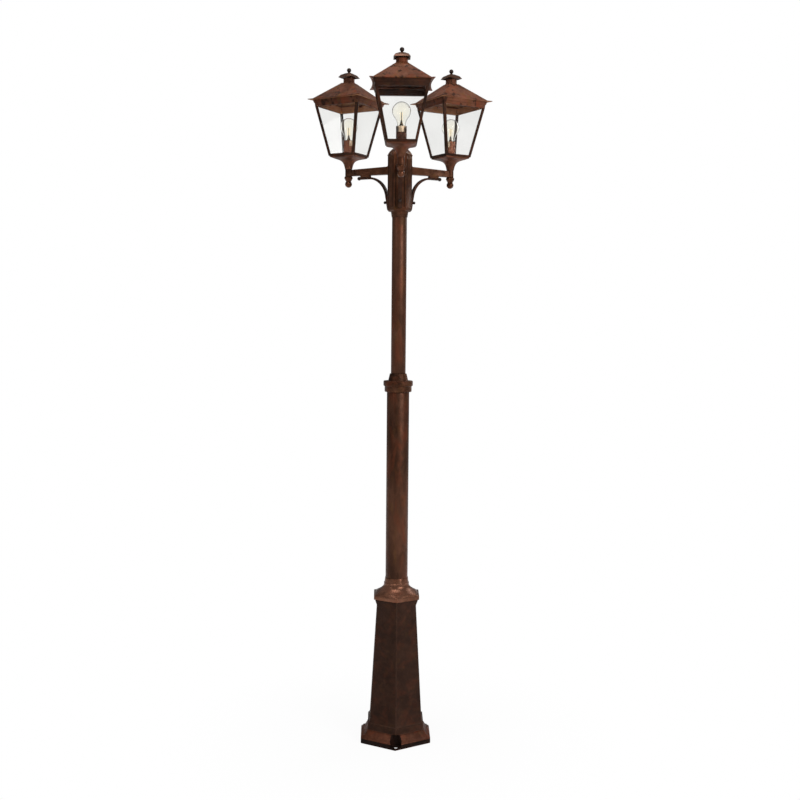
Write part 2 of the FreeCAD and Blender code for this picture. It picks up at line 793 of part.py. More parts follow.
def arm(side, azimuth):
    body = new_body(f"arm_{side}")
    centre = arm_axis
    panel_start = hub_flat + s.arm_flare_length + s.panel_margin / 2
    panel_end = s.arm_reach - s.boss_radius - s.panel_margin
    beam_end = s.arm_reach - s.boss_radius / 2

    def section(height, width):
        return rectangle(-width / 2, width / 2, centre - height / 2, centre + height / 2)

    loft(body, [(hub_flat, section(s.arm_root_height, s.arm_root_width)),
                (beam_end, section(s.arm_tip_height, s.arm_tip_width))], YZ)
    loft(body, [(hub_flat, section(s.arm_root_height + s.arm_flare * 2,
                                   s.arm_root_width + s.arm_flare)),
                (hub_flat + s.arm_flare_length, section(s.arm_root_height, s.arm_root_width))], YZ)
    height_slope = (s.arm_root_height - s.arm_tip_height) / (beam_end - hub_flat)
    width_slope = (s.arm_root_width - s.arm_tip_width) / (beam_end - hub_flat)
    for hand in (-1, 1):
        sections = []
        for reach in (panel_start, panel_end):
            height = s.arm_root_height - height_slope * (reach - hub_flat)
            side_face = (s.arm_root_width - width_slope * (reach - hub_flat)) / 2
            half = height / 2 - s.panel_border
            near, far = (side_face - s.panel_depth) * hand, (side_face + s.panel_depth) * hand
            sections.append((reach, rectangle(near, far, centre - half, centre + half)))
        loft(body, sections, YZ, cut=True)
    extrude_round(body, s.boss_radius, XY, boss_foot, s.boss_drop + s.boss_rise, x=s.arm_reach)
    pad_top = centre - s.arm_tip_height / 2 + s.pad_grip
    half = s.strap_width / 2
    extrude(body, rectangle(s.pad_inner, s.pad_outer, -half, half), XY, pad_level,
            pad_top - pad_level)
    extrude_round(body, s.spigot_radius, YZ, hub_flat - s.spigot_length, s.spigot_length, y=centre)
    extrude_round(body, s.wire_bore, YZ, hub_flat - s.spigot_length,
                  s.arm_reach - hub_flat + s.spigot_length, cut=True, y=centre)
    extrude_round(body, s.stem_radius + s.socket_clearance, XY, boss_foot,
                  s.boss_drop + s.boss_rise, cut=True, x=s.arm_reach)
    place(body, azimuth)


def bracket(side, azimuth):
    body = new_body(f"bracket_{side}")
    half = s.strap_thickness / 2
    lean_cos, lean_sin = cosine(s.strap_lean), sine(s.strap_lean)
    centre_x, centre_z = s.strap_bend_start, strap_axis - s.strap_bend_radius
    toe = strap_heel - strap_toe

    def heel(radius):
        return centre_x - radius * lean_cos, centre_z + radius * lean_sin

    outer, inner = s.strap_bend_radius + half, s.strap_bend_radius - half
    outer_heel, inner_heel = heel(outer), heel(inner)
    slide = toe * lean_sin / lean_cos
    outline = [
        (s.strap_end, strap_axis + half),
        (s.strap_bend_start, strap_axis + half, outer, 1),
        outer_heel,
        (outer_heel[0] - slide, outer_heel[1] - toe),
        (inner_heel[0] - slide, inner_heel[1] - toe),
        (inner_heel[0], inner_heel[1], inner, -1),
        (s.strap_bend_start, strap_axis - half),
        (s.strap_end, strap_axis - half),
    ]
    extrude(body, outline, XZ, 0, s.strap_width, both_ways=True)
    spacer = heel(s.strap_bend_radius)[0] - (strap_heel - foot_level) * lean_sin / lean_cos
    extrude_round(body, s.foot_spacer, YZ, hub_flat, spacer - hub_flat, y=foot_level)
    extrude_round(body, s.foot_screw + s.running_clearance, YZ, hub_flat, s.strap_end - hub_flat,
                  cut=True, y=foot_level)
    stud_foot = s.knob_place - s.knob_stud_length
    extrude_round(body, s.knob_stud + s.running_clearance, YZ, stud_foot, s.strap_end - stud_foot,
                  cut=True, y=strap_axis)
    place(body, azimuth)


def bracket_knobs(side, azimuth):
    """The ball on the strap's end, and the ball-headed screw through its foot into the hub."""
    body = new_body(f"bracket_knobs_{side}")
    for ball, ball_place, stud, stud_foot, level in (
        (s.knob_radius, s.knob_place, s.knob_stud, s.knob_place - s.knob_stud_length, strap_axis),
        (s.foot_ball, s.foot_ball_place, s.foot_screw, hub_inner_flat, foot_level),
    ):
        sketch = new_sketch(body, XZ)
        neck = ball_place - ball * sine(s.knob_rim)
        root = ball * cosine(s.knob_rim)
        draw(sketch, [
            (stud_foot, level),
            (stud_foot, level + stud),
            (neck, level + stud),
            (neck, level + root, ball, -1),
            (ball_place, level + ball, ball, -1),
            (ball_place + ball, level),
        ])
        item = feature(body, "turn", sketch)
        item.ReferenceAxis = (sketch, ["Edge6"])
        item.Angle = 360
    place(body, azimuth)


def stem(side, azimuth):
    body = new_body(f"stem_{side}")
    foot = boss_foot - s.stem_sink
    turn(body, rectangle(s.stem_bore, s.stem_radius, foot, tray_top + s.stem_top))
    nut = new_sketch(body, XY, tray_top + s.running_clearance)
    draw(nut, hub_hexagon(s.stem_nut_corner))
    draw_circle(nut, s.stem_radius + s.socket_clearance)
    extrude_sketch(body, nut, s.stem_nut_height)
    place(body, azimuth, s.arm_reach)


def pendant(side, azimuth):
    body = new_body(f"pendant_{side}")
    belly = boss_foot - s.vase_belly
    neck = boss_foot - s.vase_height
    ball = boss_foot - s.pendant_ball_drop
    ball_join = ball + s.pendant_ball * sine(s.pendant_ball_rim)
    bore = s.stem_radius + s.socket_clearance
    sink = boss_foot - s.stem_sink - s.stem_end_room
    turn(body, [
        (bore, boss_foot),
        (bore, sink),
        (0, sink),
        (0, ball - s.pendant_ball, s.pendant_ball, 1),
        (s.pendant_ball, ball, s.pendant_ball, 1),
        (s.pendant_ball * cosine(s.pendant_ball_rim), ball_join),
        (s.pendant_neck, neck),
        (s.vase_radius, belly, s.vase_rounding, 1),
        (s.boss_radius, boss_foot),
    ])
    place(body, azimuth, s.arm_reach)


def lantern_cup(side, azimuth):
    """A round foot that spreads into a square tray, bored for the stem."""

    def circle(radius):
        return rounded_square(radius / math.sqrt(2), radius)

    body = new_body(f"lantern_cup_{side}")
    tray_foot = tray_top - s.tray_thickness
    loft(body, [
        (boss_top, circle(s.cup_foot)),
        (boss_top + s.cup_throat_level, circle(s.cup_throat)),
        (boss_top + s.cup_flare_level, circle(s.cup_flare)),
        (boss_top + s.cup_spread_level, rounded_square(s.cup_spread, s.cup_spread_rounding)),
        (tray_foot, rounded_square(s.tray_half - s.tray_lip, s.tray_rounding)),
    ], ruled=False)
    extrude(body, square(s.tray_half), XY, tray_foot, s.tray_thickness)
    extrude_round(body, s.stem_radius + s.running_clearance, XY, boss_top, s.cup_height, cut=True)
    place(body, azimuth, s.arm_reach)


def lantern_frame(side, azimuth):
    body = new_body(f"lantern_frame_{side}")
    foot, top = s.frame_foot_half, s.frame_top_half
    loft(body, [(tray_top, square(foot)), (frieze_foot, square(top))])
    loft(body, [(tray_top, square(foot - s.frame_wall)), (frieze_foot, square(top - s.frame_wall))],
         cut=True)
    rail = tray_top + s.rail_height
    slope = (top - foot) / s.frame_height
    window_foot = foot + slope * s.rail_height - s.post_width
    window_top = top - s.post_width
    window = [(-window_foot, rail), (window_foot, rail), (window_top, frieze_foot),
              (-window_top, frieze_foot)]
    for plane in (XZ, YZ):
        extrude(body, window, plane, 0, s.frieze_top_half * 2, cut=True, both_ways=True)
    middle = frieze_foot + s.frieze_height / 2
    wide = (top + s.frieze_top_half) / 2
    inner = top - s.frieze_wall
    loft(body, [(frieze_foot, square(top)), (middle, square(wide - s.frieze_fillet))])
    extrude(body, square(wide), XY, middle, s.frieze_fillet)
    loft(body, [(middle + s.frieze_fillet, square(wide)), (frieze_top, square(s.frieze_top_half))])
    extrude(body, square(inner), XY, frieze_foot, s.frieze_height, cut=True)
    place(body, azimuth, s.arm_reach)


def lantern_glass(side, azimuth):
    """Four leaning panes inside the corner posts, each cut short of its neighbours."""
    body = new_body(f"lantern_glass_{side}")
    slope = (s.frame_top_half - s.frame_foot_half) / s.frame_height
    low = tray_top + s.running_clearance
    high = frieze_foot - s.glass_sink
    outer_low = s.frame_foot_half - s.frame_wall - s.glass_clearance
    outer_high = outer_low + slope * (high - low)
    inner_low, inner_high = outer_low - s.glass_thickness, outer_high - s.glass_thickness
    section = [(inner_low, low), (outer_low, low), (outer_high, high), (inner_high, high)]
    half_low, half_high = inner_low - s.glass_clearance, inner_high - s.glass_clearance
    sketch = new_sketch(body, XZ)
    draw(sketch, section)
    pane = feature(body, "extrude", sketch)
    bind(pane, "Length", s.frame_top_half * 4)
    pane.SideType = "Symmetric"
    keep = new_sketch(body, YZ, inner_low - s.glass_thickness)
    wide = s.frame_top_half * 3
    for hand in (-1, 1):
        trim = [(half_low * hand, low - s.glass_trim), (wide * hand, low - s.glass_trim),
                (wide * hand, high + s.glass_trim), (half_high * hand, high + s.glass_trim)]
        draw(keep, trim)
    cut = feature(body, "extrude", keep, True)
    bind(cut, "Length", s.frame_top_half)
    cut.Reversed = True
    pattern = around(body, cut, SQUARE_SIDES)
    pattern.TransformMode = "Whole shape"
    place(body, azimuth, s.arm_reach)


def lantern_roof(side, azimuth):
    body = new_body(f"lantern_roof_{side}")
    corner, side_half = s.brim_corner_half, s.brim_side_half
    dip = corner - side_half
    brim_radius = (corner * corner + dip * dip) / (dip * 2)
    brim = [(x, y, brim_radius, -1) for x, y in square(corner)]
    lug_face = s.frame_top_half - s.frieze_wall - s.seat_clearance
    mouth = lug_face - s.lug_thickness
    neck_bore = s.neck_radius - s.neck_wall
    plate_foot = neck_top - s.neck_plate
    extrude(body, brim, XY, frieze_top, s.brim_thickness)
    loft(body, [(brim_top, square(s.roof_foot_half)), (roof_top, square(s.roof_top_half))])
    neck_root = roof_top - s.neck_sink
    turn(body, [(0, neck_root), (s.neck_foot, neck_root), (s.neck_foot, roof_top),
                (s.neck_radius, roof_top + s.neck_foot_height), (s.neck_radius, neck_top),
                (0, neck_top)])
    apex_half = s.roof_top_half - s.roof_sheet
    extrude(body, square(mouth), XY, frieze_top, s.brim_thickness, cut=True)
    loft(body, [(brim_top, square(s.roof_foot_half - s.roof_sheet)),
                (roof_top - s.neck_plate, square(apex_half))], cut=True)
    extrude_round(body, neck_bore, XY, roof_top - s.roof_sheet * 2,
                  plate_foot - roof_top + s.roof_sheet * 2, cut=True)
    for number in range(SQUARE_SIDES):
        angle = 2 * math.pi * (number + 0.5) / SQUARE_SIDES
        extrude_round(body, s.vent_hole, XY, plate_foot, s.neck_plate, cut=True,
                      x=s.vent_circle * math.cos(angle), y=s.vent_circle * math.sin(angle))
    boss_height = s.vent_gap + s.vent_height - s.vent_wall
    extrude_round(body, s.vent_boss, XY, neck_top, boss_height)
    extrude_round(body, s.stud_radius, XY, neck_top + boss_height, s.stud_length)
    half = s.lug_width / 2
    lug = extrude(body, rectangle(lug_face - s.lug_thickness, lug_face, -half, half), XY,
                  frieze_top - s.lug_depth, s.lug_depth + s.brim_thickness)
    around(body, lug, SQUARE_SIDES)
    place(body, azimuth, s.arm_reach)


def vent_cap(side, azimuth):
    body = new_body(f"vent_cap_{side}")
    wall = s.vent_wall
    shoulder = vent_rim + s.vent_shoulder
    loft(body, [(vent_rim, square(s.vent_half)), (shoulder, square(s.vent_shoulder_half)),
                (vent_top, square(s.vent_top_half))])
    loft(body, [(vent_rim, square(s.vent_half - wall)),
                (shoulder - wall, square(s.vent_shoulder_half - wall)),
                (vent_top - wall, square(s.vent_top_half - s.vent_tip_wall))], cut=True)
    extrude_round(body, s.stud_radius + s.running_clearance, XY, vent_top - wall, wall, cut=True)
    place(body, azimuth, s.arm_reach)


def finial(side, azimuth):
    body = new_body(f"finial_{side}")
    bore = s.stud_radius + s.running_clearance
    ball_join = vent_top + s.finial_neck_height
    ball_centre = ball_join + s.finial_ball * sine(s.finial_ball_rim)
    stud_top = vent_top - s.vent_wall + s.stud_length + s.finial_room
    turn(body, [
        (bore, vent_top),
        (s.finial_foot, vent_top),
        (s.finial_foot, vent_top + s.finial_foot_height),
        (s.finial_neck, vent_top + s.finial_neck_level),
        (s.finial_ball * cosine(s.finial_ball_rim), ball_join, s.finial_ball, 1),
        (s.finial_ball, ball_centre, s.finial_ball, 1),
        (0, ball_centre + s.finial_ball),
        (0, stud_top),
        (bore, stud_top),
    ])
    place(body, azimuth, s.arm_reach)


def lamp_sleeve(side, azimuth):
    body = new_body(f"lamp_sleeve_{side}")
    turn(body, rectangle(s.sleeve_radius - s.sleeve_wall, s.sleeve_radius, tray_top,
                         tray_top + s.sleeve_height))
    half = s.sleeve_slot_width / 2
    slot_top = tray_top + s.sleeve_height
    extrude(body, rectangle(-half, half, slot_top - s.sleeve_slot_depth, slot_top), YZ, 0,
            s.sleeve_radius * 2, cut=True, both_ways=True)
    place(body, azimuth, s.arm_reach)


def lamp_holder(side, azimuth):
    body = new_body(f"lamp_holder_{side}")
    outside = s.sleeve_radius - s.sleeve_wall - s.socket_clearance
    stem_way = s.stem_radius + s.running_clearance
    mouth = outside - s.holder_wall
    well = screw_cap_foot - s.seat_clearance
    turn(body, [
        (stem_way, holder_foot),
        (outside, holder_foot),
        (outside, holder_top),
        (mouth, holder_top),
        (mouth, well),
        (s.screw_cap_tip, well),
        (s.screw_cap_tip, holder_foot + s.holder_floor),
        (stem_way, holder_foot + s.holder_floor),
    ])
    place(body, azimuth, s.arm_reach)


def bulb_cap(side, azimuth):
    body = new_body(f"bulb_cap_{side}")
    shell = screw_cap_foot + s.screw_cap_tip_height
    floor = shell + s.screw_cap_floor
    inside = s.screw_cap - s.screw_cap_wall
    turn(body, [
        (0, screw_cap_foot),
        (s.screw_cap_tip, screw_cap_foot),
        (s.screw_cap, shell),
        (s.screw_cap, screw_cap_top),
        (s.bulb_neck + s.running_clearance, screw_cap_top),
        (s.bulb_neck + s.running_clearance, bulb_foot),
        (inside, bulb_foot),
        (inside, floor),
        (0, floor),
    ])
    place(body, azimuth, s.arm_reach)


def bulb_profile(offset):
    """Neck and ball of the bulb, from the neck up, moved inward by the wall."""
    radius = s.bulb_radius - offset
    join_x = radius * cosine(s.bulb_neck_angle)
    join_z = bulb_centre - radius * sine(s.bulb_neck_angle)
    neck = s.bulb_neck - offset
    chord = s.bulb_radius * cosine(s.bulb_neck_angle) - s.bulb_neck
    neck_radius = chord / (length(1) - cosine(s.bulb_neck_angle)) + offset
    start = join_z - neck_radius * sine(s.bulb_neck_angle)
    return neck, start, neck_radius, join_x, join_z, radius


def bulb_glass(side, azimuth):
    body = new_body(f"bulb_glass_{side}")
    neck, start, bend, join_x, join_z, ball = bulb_profile(length(0))
    neck_in, start_in, bend_in, join_in_x, join_in_z, ball_in = bulb_profile(s.bulb_wall)
    turn(body, [
        (neck_in, bulb_foot),
        (neck, bulb_foot),
        (neck, start, bend, -1),
        (join_x, join_z, ball, 1),
        (ball, bulb_centre, ball, 1),
        (0, bulb_centre + ball),
        (0, bulb_centre + ball_in, ball_in, -1),
        (ball_in, bulb_centre, ball_in, -1),
        (join_in_x, join_in_z, bend_in, 1),
        (neck_in, start_in),
    ])
    place(body, azimuth, s.arm_reach)


def filament(side, azimuth):
    body = new_body(f"filament_{side}")
    foot = bulb_foot
    flare = s.bulb_neck - s.bulb_wall - s.running_clearance
    turn(body, [
        (0, foot),
        (flare, foot),
        (flare, foot + s.glass_stem_foot),
        (s.glass_stem, foot + s.glass_stem_waist),
        (s.mount_radius, foot + s.glass_stem_height),
        (s.mount_radius, foot + s.mount_height),
        (0, foot + s.mount_height),
    ])
    for hand in (-1, 1):
        spread = s.filament_spread * hand
        extrude_round(body, s.filament_radius, XY, foot + s.filament_foot,
                      s.mount_height - s.filament_foot, x=spread)
        for level in (foot + s.filament_foot, foot + s.mount_height - s.filament_radius * 2):
            extrude_round(body, s.filament_radius / 2, YZ, 0, spread, y=level + s.filament_radius)
    place(body, azimuth, s.arm_reach)


base_pedestal()
pedestal_cap()
tube("lower_tube", s.lower_tube, s.lower_tube_wall, lower_tube_foot, s.lower_tube_length)
post_collar()
tube("upper_tube", s.upper_tube, s.upper_tube_wall, upper_tube_foot, s.upper_tube_length)
hub_body()
hub_cap()
terminal_block()
arm_nuts()
set_screws()
for side, azimuth in HEADS.items():
    for make in (arm, bracket, bracket_knobs, stem, pendant, lantern_cup, lantern_frame,
                 lantern_glass, lantern_roof, vent_cap, finial, lamp_sleeve, lamp_holder,
                 bulb_cap, bulb_glass, filament):
        make(side, azimuth)

doc.recompute()
faults = [item.Name for item in doc.Objects if {"Invalid", "Error"} & set(item.State)]
if faults:
    raise RuntimeError(f"objects that failed: {faults}")
for part in SUB_PARTS:
    if part.Shape.isNull() or not part.Shape.isValid():
        raise RuntimeError(f"{part.Label} has no valid shape")

os.makedirs("parts", exist_ok=True)
for part in SUB_PARTS:
    part.Shape.exportStep(f"parts/{part.Label}.step")
    print(f"{part.Label}: {len(part.Shape.Solids)} solid(s), {part.Shape.Volume:.0f} mm3")
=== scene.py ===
import json
import math

import bpy
from mathutils import Matrix, Vector

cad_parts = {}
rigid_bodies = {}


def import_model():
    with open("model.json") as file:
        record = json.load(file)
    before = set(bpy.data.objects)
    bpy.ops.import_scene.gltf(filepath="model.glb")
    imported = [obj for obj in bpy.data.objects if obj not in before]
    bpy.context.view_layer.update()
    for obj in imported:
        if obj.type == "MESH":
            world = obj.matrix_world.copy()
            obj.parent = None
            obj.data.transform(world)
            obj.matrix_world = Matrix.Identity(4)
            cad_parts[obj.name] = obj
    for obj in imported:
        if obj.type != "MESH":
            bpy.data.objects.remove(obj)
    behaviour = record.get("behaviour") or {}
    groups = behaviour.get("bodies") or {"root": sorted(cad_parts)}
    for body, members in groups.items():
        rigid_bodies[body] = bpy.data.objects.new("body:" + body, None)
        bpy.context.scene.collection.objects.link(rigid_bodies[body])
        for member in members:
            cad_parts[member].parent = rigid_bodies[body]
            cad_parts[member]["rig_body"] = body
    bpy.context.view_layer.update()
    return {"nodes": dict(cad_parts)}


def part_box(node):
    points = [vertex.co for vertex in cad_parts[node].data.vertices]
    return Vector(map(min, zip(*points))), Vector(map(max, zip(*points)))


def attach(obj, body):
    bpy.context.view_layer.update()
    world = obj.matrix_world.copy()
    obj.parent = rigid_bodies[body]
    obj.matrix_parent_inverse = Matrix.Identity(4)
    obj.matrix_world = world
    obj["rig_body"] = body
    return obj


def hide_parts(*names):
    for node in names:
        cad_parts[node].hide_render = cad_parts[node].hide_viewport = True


# A garden lamp post with three lanterns: rust-brown patina on cast and drawn aluminium, clear
# panes and clear bulbs. Metres, +Z up, one lantern towards -Y.

bl_info = {
    "name": "Triple Lantern Post",
    "version": (1, 0, 0),
    "blender": (4, 5, 0),
    "location": "View3D > Sidebar > Lamp Post",
    "description": "Dresses a garden lamp post with three lanterns and sets its studio",
    "category": "Object",
}

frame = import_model()

SIDES = {"front": 0, "left": -120, "right": 120}
PHOTO_PIXELS = 800
SENSOR_MM = 36


def linear(code):
    """A colour's sRGB hex code as linear red, green, blue and alpha."""
    channels = [int(code[i:i + 2], 16) / 255 for i in (1, 3, 5)]
    return (*[c / 12.92 if c <= 0.04045 else ((c + 0.055) / 1.055) ** 2.4 for c in channels], 1.0)


BLACK, WHITE = linear("#000000"), linear("#FFFFFF")


def size(name, description, default):
    return bpy.props.FloatProperty(
        name=name, description=description, default=default, unit="LENGTH", precision=4
    )


def colour(name, description, code):
    return bpy.props.FloatVectorProperty(
        name=name, description=description, default=linear(code), size=4, subtype="COLOR",
        min=0, max=1,
    )


class LAMP_PG_sizes(bpy.types.PropertyGroup):
    casting_edge: size("Casting edge", "Rounding along the edges of the large castings", 0.0026)
    lantern_edge: size("Lantern edge", "Rounding along the edges of the lantern's bars", 0.0007)
    small_edge: size("Small edge", "Rounding along the edges of small fittings", 0.0005)
    vase_petals: bpy.props.IntProperty(
        name="Vase petals", description="Petals round each pendant's vase", default=10,
        min=4, max=24,
    )
    petal_depth: bpy.props.FloatProperty(
        name="Petal depth", description="Share of the radius that the grooves go in", default=0.10,
        min=0, max=0.3,
    )
    bulb_wall: size("Bulb wall", "Thickness of the bulb's glass", 0.0008)
    thread_pitch: size("Thread pitch", "Pitch of the lamp cap's rolled thread", 0.0036)


class LAMP_PG_colours(bpy.types.PropertyGroup):
    brown: colour("Brown", "Middle tone of the patina", "#573624")
    shadow_brown: colour("Shadow brown", "Dark tone of the patina", "#2A180F")
    copper: colour("Copper", "Rubbed copper-pink highlights of the patina", "#8A5E48")
    rust: colour("Rust", "Red patches of the patina", "#7A3A22")
    ochre: colour("Ochre", "Ochre patches of the patina", "#6A4A1E")
    pane: colour("Pane", "Tint of the window panes", "#F4F4F3")
    bulb_rim: colour("Bulb rim", "Tint of the bulb where it is seen edge on", "#5F6466")
    glow: colour("Glow", "Light of the filament", "#FFF0C4")
    floor: colour("Floor", "Studio floor", "#F4F4F4")


# ---------------------------------------------------------------- nodes and materials


def add_node(tree, kind, inputs=None, stops=(), **settings):
    """Adds one node. An input is a value, or a (node, socket) pair that is linked to it. A colour
    ramp's stops are places, each with its colour."""
    node = tree.nodes.new(kind)
    for name, value in settings.items():
        setattr(node, name, value)
    for socket, value in (inputs or {}).items():
        target = node.inputs[socket]
        if isinstance(value, tuple) and isinstance(value[0], bpy.types.Node):
            tree.links.new(value[0].outputs[value[1]], target)
        else:
            target.default_value = value
    if stops:
        elements = node.color_ramp.elements
        for _ in stops[len(elements):]:
            elements.new(1.0)
        for element, (place, tone) in zip(elements, stops):
            element.position = place
            element.color = tone
    return node


def new_material(name):
    material = bpy.data.materials.new(name)
    material.use_nodes = True
    material.node_tree.nodes.clear()
    return material, material.node_tree


def mask(tree, place, per_metre, low, high, detail=4.0, rough=0.6, twist=0.3):
    """A noise cut to soft-edged patches. per_metre is one over the patch size."""
    noise = add_node(tree, "ShaderNodeTexNoise", {
        "Vector": place, "Scale": per_metre, "Detail": detail, "Roughness": rough,
        "Distortion": twist,
    })
    return add_node(tree, "ShaderNodeValToRGB", {"Fac": (noise, "Fac")},
                    stops=((low, BLACK), (high, WHITE)))


def patina(name, tones, middle, shadow, offset, rub=0.3, rusty=0.3, ochre_share=0.2, spots=0.2,
           stretch=1.0, gloss=(0.38, 0.6), metal=0.25, sand=0.35):
    """Antique patina on cast aluminium: a lacquered brown ground, mottled by hand with rust and
    ochre, and rubbed back to copper. The lacquer keeps it semi-gloss over a sand-cast grain, and
    the metal flake in it tints what it reflects."""
    material, tree = new_material(name)
    place = add_node(tree, "ShaderNodeTexCoord")
    moved = add_node(tree, "ShaderNodeMapping", {
        "Vector": (place, "Object"), "Location": offset, "Scale": (1.0, 1.0, stretch),
    })
    vector = (moved, "Vector")
    # Clouds of about 90 mm in the ground's two tones.
    cloud = mask(tree, vector, 11, 0.34, 0.66, detail=3.0, rough=0.55, twist=0.2)
    layer = add_node(tree, "ShaderNodeMix", {0: (cloud, "Color"), 6: shadow, 7: middle},
                     data_type="RGBA")
    # Rust and ochre lie elsewhere than the clouds and the copper.
    shift = add_node(tree, "ShaderNodeMapping", {"Vector": vector, "Location": (3.1, 1.7, 0.9)})
    far = (shift, "Vector")
    # Patches of about 20, 35 and 25 mm, then dark spots of about 16 mm.
    for patches, share, tone in (
        (mask(tree, vector, 50, 0.46, 0.76), rub, tones.copper),
        (mask(tree, far, 28, 0.48, 0.72, twist=0.4), rusty, tones.rust),
        (mask(tree, far, 40, 0.54, 0.72), ochre_share, tones.ochre),
        (mask(tree, vector, 60, 0.60, 0.65, detail=1.0, rough=0.55, twist=0.0), spots,
         tones.shadow_brown),
    ):
        cover = add_node(tree, "ShaderNodeMath", {0: (patches, "Color"), 1: share},
                         operation="MULTIPLY")
        layer = add_node(tree, "ShaderNodeMix", {
            0: (cover, "Value"), 6: (layer, "Result"), 7: tuple(tone),
        }, data_type="RGBA")
    # Sand-cast grain of about 1.5 mm, coarser than the real one so that it shows.
    grain = add_node(tree, "ShaderNodeTexNoise", {
        "Vector": (place, "Object"), "Scale": 640, "Detail": 3.0,
    })
    waves = add_node(tree, "ShaderNodeTexNoise", {
        "Vector": (place, "Object"), "Scale": 70, "Detail": 2.0,
    })
    relief = add_node(tree, "ShaderNodeMath", {0: (grain, "Fac"), 1: (waves, "Fac")},
                      operation="ADD")
    bump = add_node(tree, "ShaderNodeBump", {
        "Height": (relief, "Value"), "Strength": sand, "Distance": 0.0006,
    })
    roughness = add_node(tree, "ShaderNodeMapRange", {
        "Value": (waves, "Fac"), "From Min": 0.3, "From Max": 0.7, "To Min": gloss[0],
        "To Max": gloss[1],
    })
    shader = add_node(tree, "ShaderNodeBsdfPrincipled", {
        "Base Color": (layer, "Result"), "Roughness": (roughness, "Result"),
        "Normal": (bump, "Normal"), "Metallic": metal, "Specular IOR Level": 0.08,
    })
    add_node(tree, "ShaderNodeOutputMaterial", {"Surface": (shader, "BSDF")})
    return material


def through_light(tree, shader):
    """Lets the lamps' light pass the glass as a thin pane does, with no dark shadow behind it."""
    path = add_node(tree, "ShaderNodeLightPath")
    clear = add_node(tree, "ShaderNodeBsdfTransparent")
    mix = add_node(tree, "ShaderNodeMixShader", {
        0: (path, "Is Shadow Ray"), 1: (shader, "BSDF"), 2: (clear, "BSDF"),
    })
    add_node(tree, "ShaderNodeOutputMaterial", {"Surface": (mix, "Shader")})


def pane_glass(tones):
    """Float glass: clear, faintly grey, with the least waviness. Its IOR is below glass's 1.52,
    so that a pane hardly reflects and hardly shifts what stands behind it."""
    material, tree = new_material("float_glass_pane")
    place = add_node(tree, "ShaderNodeTexCoord")
    wave = add_node(tree, "ShaderNodeTexNoise", {"Vector": (place, "Object"), "Scale": 9.0})
    tint = add_node(tree, "ShaderNodeValToRGB", {"Fac": (wave, "Fac")},
                    stops=((0.3, tuple(tones.pane)), (0.7, linear("#F9F9F8"))))
    bump = add_node(tree, "ShaderNodeBump", {
        "Height": (wave, "Fac"), "Strength": 0.15, "Distance": 0.0006,
    })
    shader = add_node(tree, "ShaderNodeBsdfPrincipled", {
        "Base Color": (tint, "Color"), "Roughness": 0.0, "IOR": 1.12,
        "Transmission Weight": 1.0, "Normal": (bump, "Normal"),
    })
    through_light(tree, shader)
    return material


def blown_glass(tones):
    """Blown soda glass: clear, with a faint warm tint at the middle that is painted light, the
    filament's glow; grey where the wall is seen edge on. Its IOR is below glass's 1.52, so that the
    thin wall hardly bends what is behind it."""
    material, tree = new_material("blown_bulb_glass")
    facing = add_node(tree, "ShaderNodeLayerWeight", {"Blend": 0.5})
    place = add_node(tree, "ShaderNodeTexCoord")
    streak = add_node(tree, "ShaderNodeTexNoise", {"Vector": (place, "Object"), "Scale": 40.0})
    faint = add_node(tree, "ShaderNodeMath", {0: (streak, "Fac"), 1: 0.06}, operation="MULTIPLY")
    level = add_node(tree, "ShaderNodeMath", {0: (facing, "Facing"), 1: (faint, "Value")},
                     operation="ADD")
    # The faint warm tint at the middle is painted light: the filament's glow seen on the glass.
    tint = add_node(tree, "ShaderNodeValToRGB", {"Fac": (level, "Value")}, stops=(
        (0.0, linear("#FFFDF6")), (0.45, linear("#FFFEFA")), (0.70, linear("#F3F3F1")),
        (0.92, tuple(tones.bulb_rim)),
    ))
    shader = add_node(tree, "ShaderNodeBsdfPrincipled", {
        "Base Color": (tint, "Color"), "Roughness": 0.0, "IOR": 1.2,
        "Transmission Weight": 1.0,
    })
    through_light(tree, shader)
    return material


def glowing(tones):
    """Tungsten wire at work: a warm, even glow."""
    material, tree = new_material("tungsten_filament")
    place = add_node(tree, "ShaderNodeTexCoord")
    noise = add_node(tree, "ShaderNodeTexNoise", {"Vector": (place, "Object"), "Scale": 300.0})
    heat = add_node(tree, "ShaderNodeValToRGB", {"Fac": (noise, "Fac")},
                    stops=((0.3, tuple(tones.glow)), (0.7, linear("#FFF8E0"))))
    shader = add_node(tree, "ShaderNodeBsdfPrincipled", {
        "Base Color": linear("#E8C880"), "Roughness": 0.5, "Emission Color": (heat, "Color"),
        "Emission Strength": 0.5,
    })
    add_node(tree, "ShaderNodeOutputMaterial", {"Surface": (shader, "BSDF")})
    return material


def plain_solid(name, first, second, per_metre, metallic, rough, bump_depth):
    """A small fitting's finish: two close tones, and a grain that its making leaves."""
    material, tree = new_material(name)
    place = add_node(tree, "ShaderNodeTexCoord")
    noise = add_node(tree, "ShaderNodeTexNoise", {
        "Vector": (place, "Object"), "Scale": per_metre, "Detail": 4.0,
    })
    tone = add_node(tree, "ShaderNodeValToRGB", {"Fac": (noise, "Fac")},
                    stops=((0.35, linear(first)), (0.65, linear(second))))
    bump = add_node(tree, "ShaderNodeBump", {
        "Height": (noise, "Fac"), "Strength": 0.3, "Distance": bump_depth,
    })
    wear = add_node(tree, "ShaderNodeMapRange", {
        "Value": (noise, "Fac"), "From Min": 0.3, "From Max": 0.7, "To Min": rough * 0.8,
        "To Max": rough * 1.2,
    })
    shader = add_node(tree, "ShaderNodeBsdfPrincipled", {
        "Base Color": (tone, "Color"), "Metallic": metallic, "Roughness": (wear, "Result"),
        "Normal": (bump, "Normal"),
    })
    add_node(tree, "ShaderNodeOutputMaterial", {"Surface": (shader, "BSDF")})
    return material


MATERIALS = {}


